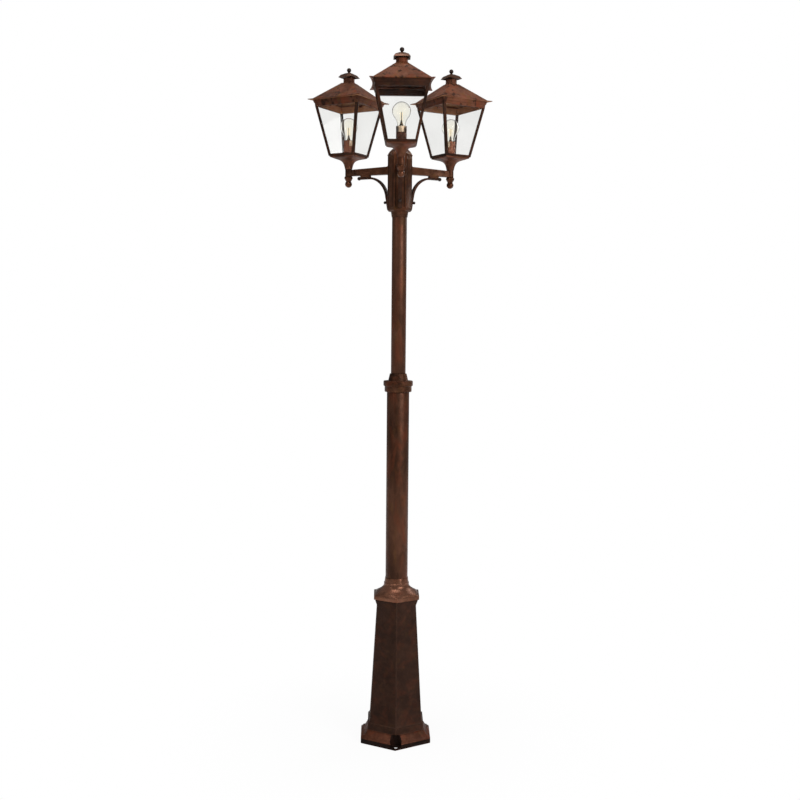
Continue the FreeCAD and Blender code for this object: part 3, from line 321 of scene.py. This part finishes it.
def make_materials(tones):
    brown, dark = tuple(tones.brown), tuple(tones.shadow_brown)
    MATERIALS.update({
        # The pedestal's faces, hardly rubbed: dark and nearly matt. Its edges are a little paler, a
        # painted highlight.
        "pedestal": patina("patina_pedestal", tones, linear("#38241B"), linear("#2A1A13"),
                           (0.0, 0.0, 0.0), rub=0.06, rusty=0.14, ochre_share=0.1, spots=0.1,
                           gloss=(0.5, 0.7), metal=0.1, sand=0.2),
        "pedestal_edge": patina("patina_pedestal_highlight_edge", tones, linear("#3E2A20"),
                                linear("#30201A"), (8.0, 5.0, 2.0), rub=0.1, rusty=0.1,
                                ochre_share=0.1, spots=0.1, gloss=(0.45, 0.6), metal=0.1,
                                sand=0.2),
        # The skirt's slope, redder with rust.
        "skirt": patina("patina_skirt", tones, linear("#5A3425"), linear("#3A2117"),
                        (0.3, 0.8, 0.0), rub=0.25, rusty=0.5, ochre_share=0.1),
        # The shoulder round the tube's foot, rubbed to smooth copper with bright lights on it.
        "shoulder": patina("patina_shoulder", tones, linear("#7A5342"), linear("#4E3224"),
                           (0.6, 0.2, 0.4), rub=0.5, rusty=0.3, ochre_share=0.15, metal=0.55,
                           gloss=(0.24, 0.38), sand=0.1),
        # Drawn tube: smoother than the castings, with its patches drawn out along it.
        "tube": patina("patina_tube", tones, linear("#5A3A2B"), linear("#3B251A"),
                       (5.0, 2.0, 1.0), rub=0.2, rusty=0.45, stretch=0.35, gloss=(0.34, 0.5),
                       metal=0.45, sand=0.12),
        # The hub's edges, rubbed back to copper and paler still: wear and a painted highlight.
        "worn_edge": patina("patina_worn_highlight_edge", tones, linear("#7C5A48"), linear("#4A3226"),
                            (8.0, 2.0, 5.0), rub=0.4, rusty=0.1, gloss=(0.3, 0.5), metal=0.35),
        # Turned vases, the smoothest and the glossiest of all.
        "pendant": patina("patina_pendant", tones, linear("#5C3828"), linear("#38200F"),
                          (3.0, 7.0, 2.0), rub=0.4, rusty=0.2, gloss=(0.16, 0.3), metal=0.65,
                          sand=0.06),
        # Vent caps, rubbed evenly to a half gloss.
        "vent": patina("patina_vent", tones, linear("#5A4032"), linear("#35241B"),
                       (9.0, 4.0, 1.0), rub=0.5, rusty=0.15, gloss=(0.26, 0.44), metal=0.4,
                       sand=0.15),
        # Painted shade: near-black patina in the grooves and recesses and on the rim.
        "recess": patina("painted_shade_patina", tones, linear("#1F120D"), linear("#140B08"),
                         (1.5, 0.5, 2.5), rub=0.04, rusty=0.08, ochre_share=0.0, spots=0.0,
                         gloss=(0.55, 0.75), metal=0.1),
        # Painted light: the inside of a roof and frieze in a bright copper that stands in for the
        # light and reflections seen on it through the panes.
        "painted_light_lining": patina("painted_light_copper", tones, linear("#B98662"), linear("#8A5D43"),
                         (2.5, 3.5, 0.5), rub=0.2, rusty=0.15, ochre_share=0.1, spots=0.1,
                         metal=0.2),
        # The plain castings: collar, hub, lid and arms.
        "casting": patina("patina_casting", tones, brown, dark, (1.0, 4.0, 2.0), rub=0.3,
                          rusty=0.3, gloss=(0.3, 0.5), metal=0.35),
        # Roofs and friezes, the most weathered: rust, ochre and dark spots, streaked downwards.
        "roof": patina("patina_roof", tones, linear("#714735"), linear("#44281C"),
                       (7.0, 1.0, 3.0), rub=0.35, rusty=0.75, ochre_share=0.55, spots=0.85,
                       stretch=0.6),
        # Cups: rust red, and half glossy on their curves.
        "cup": patina("patina_cup", tones, linear("#6E4432"), linear("#412619"),
                      (2.0, 6.0, 4.0), rub=0.45, rusty=0.55, ochre_share=0.35, gloss=(0.3, 0.5),
                      metal=0.35),
        # The side lamps' sleeves, a paler brown than the front lamp's: a lit copy of the same
        # sleeve, painted light.
        "sleeve": patina("patina_sleeve_painted_light", tones, linear("#7A4E3C"), linear("#55301F"),
                         (6.0, 5.0, 1.0), rub=0.4, rusty=0.4),
        # Lantern bars, brackets and the front lamp's sleeve, dark.
        "bars": patina("patina_bars", tones, linear("#3A241A"), linear("#22150F"),
                       (4.0, 3.0, 6.0), rub=0.15, rusty=0.2, ochre_share=0.1, metal=0.2),
        "pane": pane_glass(tones),
        "bulb": blown_glass(tones),
        "filament": glowing(tones),
        # Turned steel nuts and balls under a dark brown lacquer.
        "fastener": plain_solid("lacquered_steel", "#1E1410", "#35241C", 220, 0.7, 0.25, 0.0002),
        # Glazed porcelain, cream, with a faint unevenness of the glaze.
        "porcelain": plain_solid("glazed_porcelain", "#E6DCCB", "#F2EADC", 60, 0.0, 0.16, 0.0002),
        # Brass, rolled to a thread and dulled by heat.
        "lamp_cap": plain_solid("rolled_brass", "#BFA184", "#DCC7AC", 150, 0.8, 0.34, 0.0002),
        # Oil-bound mastic, smoothed by hand and gone dull.
        "mastic": plain_solid("glazing_mastic", "#2A1D16", "#3A2A20", 180, 0.0, 0.7, 0.0003),
        # Moulded thermoset, off white.
        "terminal": plain_solid("moulded_thermoset", "#CFC6B4", "#DED6C6", 180, 0.0, 0.5, 0.0002),
        # Clear lamp stem, darkened by the wires that it carries.
        "stem_glass": plain_solid("smoked_stem_glass", "#2C241C", "#4A3C2C", 120, 0.0, 0.15,
                                  0.0001),
    })


# ---------------------------------------------------------------- modelling helpers


SHARP_DEGREES = 35  # A turn of more than this is an edge.
FLAT_DEGREES = 0.6  # Faces that turn less than this are one face.
MERGE_DISTANCE = 0.00002


def only(*objects):
    """Deselects everything, then selects these and makes the first active."""
    bpy.ops.object.select_all(action="DESELECT")
    for item in objects:
        item.select_set(True)
    bpy.context.view_layer.objects.active = objects[0]


def paint(piece, *materials):
    piece.data.materials.clear()
    for material in materials:
        piece.data.materials.append(MATERIALS[material])


def paint_where(piece, material, chosen):
    """Adds a material and gives it to the faces that the test picks."""
    piece.data.materials.append(MATERIALS[material])
    index = len(piece.data.materials) - 1
    for face in piece.data.polygons:
        if chosen(face):
            face.material_index = index


def round_edges(piece, width, clamp):
    """Rounds the sharp edges. Where the piece has a second material, the rounding takes it: a paler
    tone of wear with a painted highlight.
    """
    only(piece)
    bevel = piece.modifiers.new("Rounding", "BEVEL")
    bevel.width = width
    bevel.segments = 2
    bevel.limit_method = "ANGLE"
    bevel.angle_limit = math.radians(SHARP_DEGREES)
    bevel.use_clamp_overlap = clamp
    bevel.material = len(piece.data.materials) - 1
    bpy.ops.object.modifier_apply(modifier=bevel.name)


def finish_piece(piece, name, body, slot, *nodes, angle=SHARP_DEGREES):
    """Puts the object at the origin, shades it, hangs it on its body and hides the nodes that it
    stands for.
    """
    only(piece)
    bpy.ops.object.transform_apply(location=True, rotation=True, scale=True)
    bpy.ops.object.shade_smooth_by_angle(angle=math.radians(angle))
    piece.name = name
    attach(piece, body)
    if nodes:
        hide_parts(*nodes)
    return piece


def casting(node, materials, slot, edge, clamp=True):
    """A copy of a node's shape with joined faces and the rounded edges that a mould leaves. An
    edge of 0 stays sharp. Small drillings clamp the rounding to next to nothing, unless clamp is
    off."""
    source = frame["nodes"][node]
    piece = bpy.data.objects.new(f"{node}_cast", source.data.copy())
    bpy.context.scene.collection.objects.link(piece)
    only(piece)
    bpy.ops.object.mode_set(mode="EDIT")
    bpy.ops.mesh.select_all(action="SELECT")
    bpy.ops.mesh.remove_doubles(threshold=MERGE_DISTANCE)
    bpy.ops.mesh.dissolve_limited(angle_limit=math.radians(FLAT_DEGREES))
    bpy.ops.mesh.normals_make_consistent(inside=False)
    bpy.ops.object.mode_set(mode="OBJECT")
    paint(piece, *materials.split())
    if edge > 0:
        round_edges(piece, edge, clamp)
    return finish_piece(piece, f"{node}_cast", source["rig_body"], slot, node)


def turned(centre, rings, sides=48, capped=True):
    """A turned piece: a disc, extruded and scaled ring by ring up the vertical axis."""
    radius, level = rings[0]
    x, y = centre
    bpy.ops.object.select_all(action="DESELECT")
    bpy.ops.mesh.primitive_circle_add(
        vertices=sides, radius=radius, fill_type="NGON" if capped else "NOTHING",
        location=(x, y, level), enter_editmode=True,
    )
    piece = bpy.context.object
    for next_radius, next_level in rings[1:]:
        bpy.ops.mesh.extrude_region_move(
            TRANSFORM_OT_translate={"value": (0, 0, next_level - level)}
        )
        share = next_radius / radius
        bpy.ops.transform.resize(value=(share, share, 1), center_override=(x, y, next_level))
        radius, level = next_radius, next_level
    bpy.ops.mesh.select_all(action="SELECT")
    bpy.ops.mesh.normals_make_consistent(inside=False)
    bpy.ops.object.mode_set(mode="OBJECT")
    return piece


def arc(centre_level, radius, first, last, steps):
    """Rings along a ball: angles from the horizontal, in degrees."""
    rings = []
    for i in range(steps + 1):
        angle = math.radians(first + (last - first) * i / steps)
        rings.append((radius * math.cos(angle), centre_level + radius * math.sin(angle)))
    return rings


def at_each_lantern(piece, name, body, material, slot, nodes=(), *, angle):
    """Turns a finished front piece round the post to the other two arms, each with its own mesh."""
    only(piece)
    bpy.ops.object.transform_apply(location=True, rotation=True, scale=True)
    paint(piece, material)
    for side, degrees in SIDES.items():
        copy = piece
        if side != "front":
            copy = bpy.data.objects.new(f"{name}_{side}", piece.data.copy())
            bpy.context.scene.collection.objects.link(copy)
            copy.rotation_euler = (0, 0, math.radians(degrees))
        finish_piece(copy, f"{name}_{side}", body.format(side=side), slot,
                     *[node.format(side=side) for node in nodes], angle=angle)


def middle(node):
    low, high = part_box(node)
    return (low.x + high.x) / 2, (low.y + high.y) / 2


# ---------------------------------------------------------------- the pieces


class LAMP_OT_pedestal(bpy.types.Operator):
    """Dresses the pedestal and the cap that closes it round the tube"""
    bl_idname = "lamp.pedestal"
    bl_label = "Pedestal"

    def execute(self, context):
        edge = context.scene.lamp_sizes.casting_edge
        # The pedestal's rounded edges get the paler tone, a painted highlight.
        piece = casting("base_pedestal", "pedestal pedestal_edge", "casting", edge, clamp=False)
        # The sloping skirt shows more of the rust tone than the shaft above it, and the rim below it
        # and the fixing recesses get painted shade.
        rim_top, skirt_top = 0.019, 0.043
        fixing_circle, recess = 0.117, 0.0195
        upright = 0.2
        turns = [math.radians(270 + degrees) for degrees in SIDES.values()]
        fixings = [Vector((fixing_circle * math.cos(turn), fixing_circle * math.sin(turn)))
                   for turn in turns]

        def gets_painted_shade(face):
            """The rim's upright faces, and all faces near a fixing."""
            on_rim = face.center.z < rim_top and abs(face.normal.z) < upright
            nearest = min((face.center.xy - fixing).length for fixing in fixings)
            return on_rim or face.center.z < skirt_top and nearest < recess

        paint_where(piece, "skirt", lambda face: face.center.z < skirt_top)
        # Painted shade: near black on the rim and in the fixing recesses.
        paint_where(piece, "recess", gets_painted_shade)
        casting("pedestal_cap", "shoulder", "casting", edge / 2)
        return {"FINISHED"}


class LAMP_OT_tubes(bpy.types.Operator):
    """Dresses the two tubes and the collar between them"""
    bl_idname = "lamp.tubes"
    bl_label = "Tubes and collar"

    def execute(self, context):
        edge = context.scene.lamp_sizes.small_edge
        for node in ("lower_tube", "upper_tube"):
            casting(node, "tube", "post_tube", edge)
        casting("post_collar", "casting", "casting", edge)
        return {"FINISHED"}


class LAMP_OT_hub(bpy.types.Operator):
    """Dresses the hub, its lid and the fittings inside it"""
    bl_idname = "lamp.hub"
    bl_label = "Hub"

    def execute(self, context):
        sizes = context.scene.lamp_sizes
        # The hub's rounded edges get the paler tone: wear and a painted highlight.
        hub = casting("hub_body", "casting worn_edge", "casting", sizes.casting_edge / 2)
        low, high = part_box("hub_body")
        flat = (high.x - low.x) / 2 * math.cos(math.pi / 6)
        turns = [math.pi * (i / 3 + 1 / 6) for i in range(6)]
        groove_depth, floor_slack, face_slack = 0.0015, 0.0003, 0.0004
        floor = flat - groove_depth
        neck_top = low.z + 0.026

        def in_groove(face):
            """The floors and sides of the grooves, which get the painted shade."""
            reach = max(face.center.x * math.cos(turn) + face.center.y * math.sin(turn)
                        for turn in turns)
            return floor - floor_slack < reach < flat - face_slack and face.center.z > neck_top

        # Painted shade in the grooves.
        paint_where(hub, "recess", in_groove)
        casting("hub_cap", "casting", "casting", sizes.small_edge)
        paint(frame["nodes"]["terminal_block"], "terminal")
        paint(frame["nodes"]["arm_nuts"], "fastener")
        paint(frame["nodes"]["set_screws"], "fastener")
        return {"FINISHED"}


class LAMP_OT_arms(bpy.types.Operator):
    """Dresses the arms, their curved brackets, knobs and stems"""
    bl_idname = "lamp.arms"
    bl_label = "Arms and brackets"

    def execute(self, context):
        sizes = context.scene.lamp_sizes
        for side in SIDES:
            casting(f"arm_{side}", "casting", "casting", sizes.small_edge)
            casting(f"bracket_{side}", "bars", "casting", sizes.small_edge)
            casting(f"bracket_knobs_{side}", "fastener", "fasteners", 0)
            casting(f"stem_{side}", "fastener", "fasteners", sizes.small_edge / 2)
        return {"FINISHED"}


PETAL_COLUMNS = 6  # Columns of faces round the vase, for each petal.


class LAMP_OT_pendants(bpy.types.Operator):
    """Models the pendants: a vase with petals over a ball"""
    bl_idname = "lamp.pendants"
    bl_label = "Pendants"

    def execute(self, context):
        sizes = context.scene.lamp_sizes
        low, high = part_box("pendant_front")
        centre = middle("pendant_front")
        vase = (high.x - low.x) / 2
        ball = 0.012
        ball_level = low.z + ball
        rings = arc(ball_level, ball, -84, 38, 12)
        # The vase's radii, each with its depth under the top.
        rings += [(radius, high.z - depth) for radius, depth in (
            (0.0086, 0.0178), (0.0088, 0.0166), (0.0104, 0.0138), (0.0124, 0.0104),
            (0.0138, 0.0074), (vase, 0.0050), (0.0140, 0.0026), (0.0128, 0.0008), (0.0116, 0.0),
        )]
        sides = sizes.vase_petals * PETAL_COLUMNS
        piece = turned(centre, rings, sides)
        petal_foot, petal_top = high.z - 0.0165, high.z - 0.0012
        self.carve(piece, centre, sides, petal_foot, petal_top, sizes.petal_depth)
        at_each_lantern(piece, "pendant_vase", "post", "pendant", "casting", ("pendant_{side}",),
                        angle=50)
        return {"FINISHED"}

    def carve(self, piece, centre, sides, foot, top, depth):
        """Draws one column of each petal in towards the axis, its neighbours about half as far."""
        x, y = centre
        origin = Vector((x, y, 0))
        world = piece.matrix_world
        for share, lanes in ((1 - depth, (0,)), (1 - depth * 0.45, (1, PETAL_COLUMNS - 1))):
            only(piece)
            for vertex in piece.data.vertices:
                spoke = world @ vertex.co - origin
                column = round(math.atan2(spoke.y, spoke.x) / (2 * math.pi) * sides)
                lane = column % PETAL_COLUMNS
                vertex.select = lane in lanes and foot < spoke.z < top
            for edge in piece.data.edges:
                edge.select = False
            for face in piece.data.polygons:
                face.select = False
            bpy.ops.object.mode_set(mode="EDIT")
            bpy.ops.mesh.select_mode(type="VERT")
            bpy.ops.transform.resize(value=(share, share, 1), center_override=(x, y, 0))
            bpy.ops.object.mode_set(mode="OBJECT")


class LAMP_OT_lanterns(bpy.types.Operator):
    """Dresses the lanterns' cups and frames, and glazes them"""
    bl_idname = "lamp.lanterns"
    bl_label = "Lantern bodies"

    def execute(self, context):
        sizes = context.scene.lamp_sizes
        edge_area = 0.002
        for side in SIDES:
            casting(f"lantern_cup_{side}", "cup", "casting", sizes.small_edge)
            bars = casting(f"lantern_frame_{side}", "bars", "casting", sizes.lantern_edge)
            if side != "front":
                self.paint_frieze(bars, f"lantern_frame_{side}")
            panes = casting(f"lantern_glass_{side}", "pane", "pane_glass", 0)
            # The narrow edges lie in dark glazing mastic.
            paint_where(panes, "mastic", lambda face: face.area < edge_area)
        return {"FINISHED"}

    def paint_frieze(self, bars, node):
        """Gives a frieze the painted light's bright copper inside and the roof's patina outside."""
        x, y = middle(node)
        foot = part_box(node)[1].z - 0.0215
        inward = -0.001

        def looks_in(face):
            return face.normal.x * (face.center.x - x) + face.normal.y * (face.center.y - y) < inward

        paint_where(bars, "painted_light_lining", lambda face: face.center.z > foot and looks_in(face))
        paint_where(bars, "roof", lambda face: face.center.z > foot and not looks_in(face))


class LAMP_OT_roofs(bpy.types.Operator):
    """Dresses the roofs and vent caps, and turns the ball finials"""
    bl_idname = "lamp.roofs"
    bl_label = "Roofs"

    def execute(self, context):
        sizes = context.scene.lamp_sizes
        downward = -0.3
        for side in SIDES:
            roof = casting(f"lantern_roof_{side}", "roof", "casting", sizes.lantern_edge)
            if side != "front":
                # The side roofs' undersides get the bright copper of painted light.
                paint_where(roof, "painted_light_lining", lambda face: face.normal.z < downward)
            casting(f"vent_cap_{side}", "vent", "casting", sizes.lantern_edge)
        low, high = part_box("finial_front")
        ball = 0.0074
        ball_level = high.z - ball
        # The foot's radii, each with its height above the bottom.
        rings = [(radius, low.z + height) for radius, height in (
            (0.0057, 0.0), (0.0060, 0.0004), (0.0058, 0.0012), (0.0042, 0.0020), (0.0038, 0.0028),
        )]
        rings += arc(ball_level, ball, -57, 84, 14)
        piece = turned(middle("finial_front"), rings, 32)
        at_each_lantern(piece, "finial_ball", "finial_{side}", "fastener", "casting",
                        ("finial_{side}",), angle=60)
        return {"FINISHED"}


class LAMP_OT_lamps(bpy.types.Operator):
    """Models the bulbs with their caps and filaments, and dresses the sleeves that hold them"""
    bl_idname = "lamp.lamps"
    bl_label = "Lamps"

    def execute(self, context):
        sizes = context.scene.lamp_sizes
        for side in SIDES:
            # The side lamps' sleeves get the paler, lit copy: painted light.
            casting(f"lamp_sleeve_{side}", "bars" if side == "front" else "sleeve", "casting",
                    sizes.small_edge / 2)
            casting(f"lamp_holder_{side}", "porcelain", "porcelain", sizes.small_edge / 2)
        self.cap(sizes)
        self.bulb(sizes)
        self.filament()
        return {"FINISHED"}

    def cap(self, sizes):
        """The rolled thread: a crest and a root for each pitch, between the contact and the rim."""
        low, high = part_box("bulb_cap_front")
        shell = (high.x - low.x) / 2
        thread_depth, flank_rise = 0.0009, 0.0006
        root = shell - thread_depth
        flank = root + flank_rise
        rings = [(0.0036, low.z), (0.0040, low.z + 0.0006), (root * 0.8, low.z + 0.0026),
                 (root, low.z + 0.0036)]
        level, last_level = low.z + 0.0046, high.z - 0.006
        quarter = sizes.thread_pitch / 4
        while level < last_level:
            rings += [(root, level), (flank, level + quarter),
                      (shell, level + quarter * 2), (flank, level + quarter * 3)]
            level += sizes.thread_pitch
        rings += [(root, high.z - 0.0046), (shell, high.z - 0.0034), (shell, high.z - 0.0004),
                  (shell - 0.0004, high.z)]
        piece = turned(middle("bulb_cap_front"), rings, 48)
        at_each_lantern(piece, "lamp_cap", "lamp_bulb_{side}", "lamp_cap", "lamp_cap",
                        ("bulb_cap_{side}",), angle=60)

    def bulb(self, sizes):
        """Neck and ball as one blown shell, open at the cap, with its wall turned inwards."""
        low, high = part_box("bulb_glass_front")
        ball = (high.x - low.x) / 2
        ball_level = high.z - ball
        neck = 0.0126
        rings = [(neck, low.z + 0.0014)]
        # The neck bends outwards and meets the ball at this angle under its middle.
        join_degrees, bend_steps = -40, 6
        join = math.radians(join_degrees)
        join_x = ball * math.cos(join)
        bend = (join_x - neck) / (1 - math.cos(join))
        start = ball_level + ball * math.sin(join) + bend * math.sin(join)
        for i in range(bend_steps + 1):
            angle = join * i / bend_steps
            rings.append((neck + bend * (1 - math.cos(angle)), start - bend * math.sin(angle)))
        rings += arc(ball_level, ball, join_degrees, 88, 24)[1:]
        piece = turned(middle("bulb_glass_front"), rings, 64, capped=False)
        only(piece)
        top = max(vertex.co.z for vertex in piece.data.vertices)
        for vertex in piece.data.vertices:
            vertex.select = vertex.co.z > top - 1e-6
        bpy.ops.object.mode_set(mode="EDIT")
        bpy.ops.mesh.select_mode(type="VERT")
        bpy.ops.mesh.edge_face_add()
        bpy.ops.mesh.select_all(action="SELECT")
        bpy.ops.mesh.normals_make_consistent(inside=False)
        bpy.ops.object.mode_set(mode="OBJECT")
        wall = piece.modifiers.new("Wall", "SOLIDIFY")
        wall.thickness = sizes.bulb_wall
        wall.offset = -1
        bpy.ops.object.modifier_apply(modifier=wall.name)
        at_each_lantern(piece, "bulb_shell", "lamp_bulb_{side}", "bulb", "bulb_glass",
                        ("bulb_glass_{side}",), angle=80)

    def filament(self):
        """A dark stem with four glowing wires round it."""
        low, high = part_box("filament_front")
        x, y = middle("filament_front")
        stem = turned((x, y), [
            (0.0110, low.z), (0.0110, low.z + 0.0012), (0.0070, low.z + 0.0040),
            (0.0046, low.z + 0.0090), (0.0032, low.z + 0.0150), (0.0022, low.z + 0.0190),
            (0.0013, low.z + 0.0230), (0.0012, high.z - 0.0020), (0.0004, high.z),
        ], 24)
        at_each_lantern(stem, "lamp_stem", "lamp_core_{side}", "stem_glass", "lamp_core",
                        ("filament_{side}",), angle=50)
        wires = []
        foot, top = low.z + 0.020, high.z - 0.001
        circle, wire, tip, taper = 0.0042, 0.0005, 0.0002, 0.0010
        rings = [(tip, foot), (wire, foot + taper), (wire, (foot + top) / 2), (wire, top - taper),
                 (tip, top)]
        for i in range(4):
            angle = math.radians(45 + 90 * i)
            place = (x + circle * math.cos(angle), y + circle * math.sin(angle))
            wires.append(turned(place, rings, 10))
        only(*wires)
        bpy.ops.object.join()
        at_each_lantern(bpy.context.object, "lamp_wires", "lamp_core_{side}", "filament",
                        "lamp_core", angle=60)


class LAMP_OT_stage(bpy.types.Operator):
    """Sets the pale floor, the soft lights and the camera"""
    bl_idname = "lamp.stage"
    bl_label = "Stage"

    def execute(self, context):
        self.floor(context.scene.lamp_colours)
        self.world(context.scene)
        self.lights()
        self.camera(context.scene)
        context.scene.view_settings.view_transform = "Standard"
        return {"FINISHED"}

    def floor(self, tones):
        bpy.ops.object.select_all(action="DESELECT")
        bpy.ops.mesh.primitive_circle_add(vertices=64, radius=14, fill_type="NGON")
        floor = bpy.context.object
        floor.name = "studio_floor"
        material, tree = new_material("matt_studio_floor")
        path = add_node(tree, "ShaderNodeLightPath")
        matt = add_node(tree, "ShaderNodeBsdfDiffuse", {"Color": tuple(tones.floor)})
        white = add_node(tree, "ShaderNodeEmission", {"Color": WHITE, "Strength": 1.0})
        place = add_node(tree, "ShaderNodeTexCoord")
        reach = add_node(tree, "ShaderNodeVectorMath", {0: (place, "Object")}, operation="LENGTH")
        # The floor fades to the backdrop's white away from the post's foot.
        fade = add_node(tree, "ShaderNodeMapRange", {
            "Value": (reach, "Value"), "From Min": 0.1, "From Max": 0.8, "To Min": 0.93,
            "To Max": 1.0,
        })
        seen = add_node(tree, "ShaderNodeMath", {
            0: (path, "Is Camera Ray"), 1: (path, "Is Glossy Ray"),
        }, operation="MAXIMUM")
        seen = add_node(tree, "ShaderNodeMath", {
            0: (seen, "Value"), 1: (path, "Is Transmission Ray"),
        }, operation="MAXIMUM")
        share = add_node(tree, "ShaderNodeMath", {0: (seen, "Value"), 1: (fade, "Result")},
                         operation="MULTIPLY")
        mix = add_node(tree, "ShaderNodeMixShader", {
            0: (share, "Value"), 1: (matt, "BSDF"), 2: (white, "Emission"),
        })
        add_node(tree, "ShaderNodeOutputMaterial", {"Surface": (mix, "Shader")})
        floor.data.materials.append(material)

    def world(self, scene):
        world = bpy.data.worlds.new("studio_world")
        scene.world = world
        world.use_nodes = True
        tree = world.node_tree
        tree.nodes.clear()
        path = add_node(tree, "ShaderNodeLightPath")
        soft = add_node(tree, "ShaderNodeBackground", {"Color": WHITE, "Strength": 0.22})
        white = add_node(tree, "ShaderNodeBackground", {"Color": WHITE, "Strength": 1.0})
        seen = add_node(tree, "ShaderNodeMath", {
            0: (path, "Is Camera Ray"), 1: (path, "Is Transmission Ray"),
        }, operation="MAXIMUM")
        mix = add_node(tree, "ShaderNodeMixShader", {
            0: (seen, "Value"), 1: (soft, "Background"), 2: (white, "Background"),
        })
        add_node(tree, "ShaderNodeOutputWorld", {"Surface": (mix, "Shader")})

    def lights(self):
        target = Vector((0, 0, 1.2))
        for name, place, width, height, watts in (
            ("key_light", (2.7, -3.2, 3.0), 2.4, 2.6, 120),
            ("fill_light", (-3.2, -2.6, 3.4), 1.0, 2.0, 16),
            ("top_light", (-0.4, -0.6, 5.4), 2.2, 2.2, 100),
            ("back_light", (3.2, 3.0, 3.6), 2.0, 2.0, 40),
        ):
            bpy.ops.object.light_add(type="AREA", location=place)
            lamp = bpy.context.object
            lamp.name = name
            lamp.data.shape = "RECTANGLE"
            lamp.data.size = width
            lamp.data.size_y = height
            lamp.data.energy = watts
            lamp.rotation_euler = (target - Vector(place)).to_track_quat("-Z", "Y").to_euler()

    def camera(self, scene):
        # Fitted to the photograph: focal length in its pixels, place in metres, turns in degrees.
        focal_pixels = 1087.65
        place = (-0.0635, -3.6943, 1.4643)
        pitch, yaw, roll = 4.48, -1.09, 0.49
        bpy.ops.object.camera_add(location=place)
        camera = bpy.context.object
        camera.name = "photo_camera"
        camera.data.sensor_width = SENSOR_MM
        camera.data.lens = focal_pixels / PHOTO_PIXELS * SENSOR_MM
        turn = (Matrix.Rotation(math.radians(yaw), 4, "Z")
                @ Matrix.Rotation(math.radians(90 - pitch), 4, "X")
                @ Matrix.Rotation(math.radians(roll), 4, "Z"))
        camera.rotation_euler = turn.to_euler()
        scene.camera = camera


class LAMP_PT_panel(bpy.types.Panel):
    bl_idname = "LAMP_PT_panel"
    bl_label = "Triple Lantern Post"
    bl_space_type = "VIEW_3D"
    bl_region_type = "UI"
    bl_category = "Lamp Post"

    def draw(self, context):
        for group in (context.scene.lamp_sizes, context.scene.lamp_colours):
            box = self.layout.box()
            for name in group.__annotations__:
                box.prop(group, name)
        for operator in PIECES:
            self.layout.operator(operator.bl_idname)


PIECES = (LAMP_OT_pedestal, LAMP_OT_tubes, LAMP_OT_hub, LAMP_OT_arms, LAMP_OT_pendants,
          LAMP_OT_lanterns, LAMP_OT_roofs, LAMP_OT_lamps, LAMP_OT_stage)
CLASSES = (LAMP_PG_sizes, LAMP_PG_colours, *PIECES, LAMP_PT_panel)


def register():
    for item in CLASSES:
        bpy.utils.register_class(item)
    bpy.types.Scene.lamp_sizes = bpy.props.PointerProperty(type=LAMP_PG_sizes)
    bpy.types.Scene.lamp_colours = bpy.props.PointerProperty(type=LAMP_PG_colours)


def unregister():
    del bpy.types.Scene.lamp_colours
    del bpy.types.Scene.lamp_sizes
    for item in reversed(CLASSES):
        bpy.utils.unregister_class(item)


def main():
    register()
    make_materials(bpy.context.scene.lamp_colours)
    for operator in PIECES:
        group, name = operator.bl_idname.split(".")
        getattr(getattr(bpy.ops, group), name)()


if __name__ == "__main__":
    main()
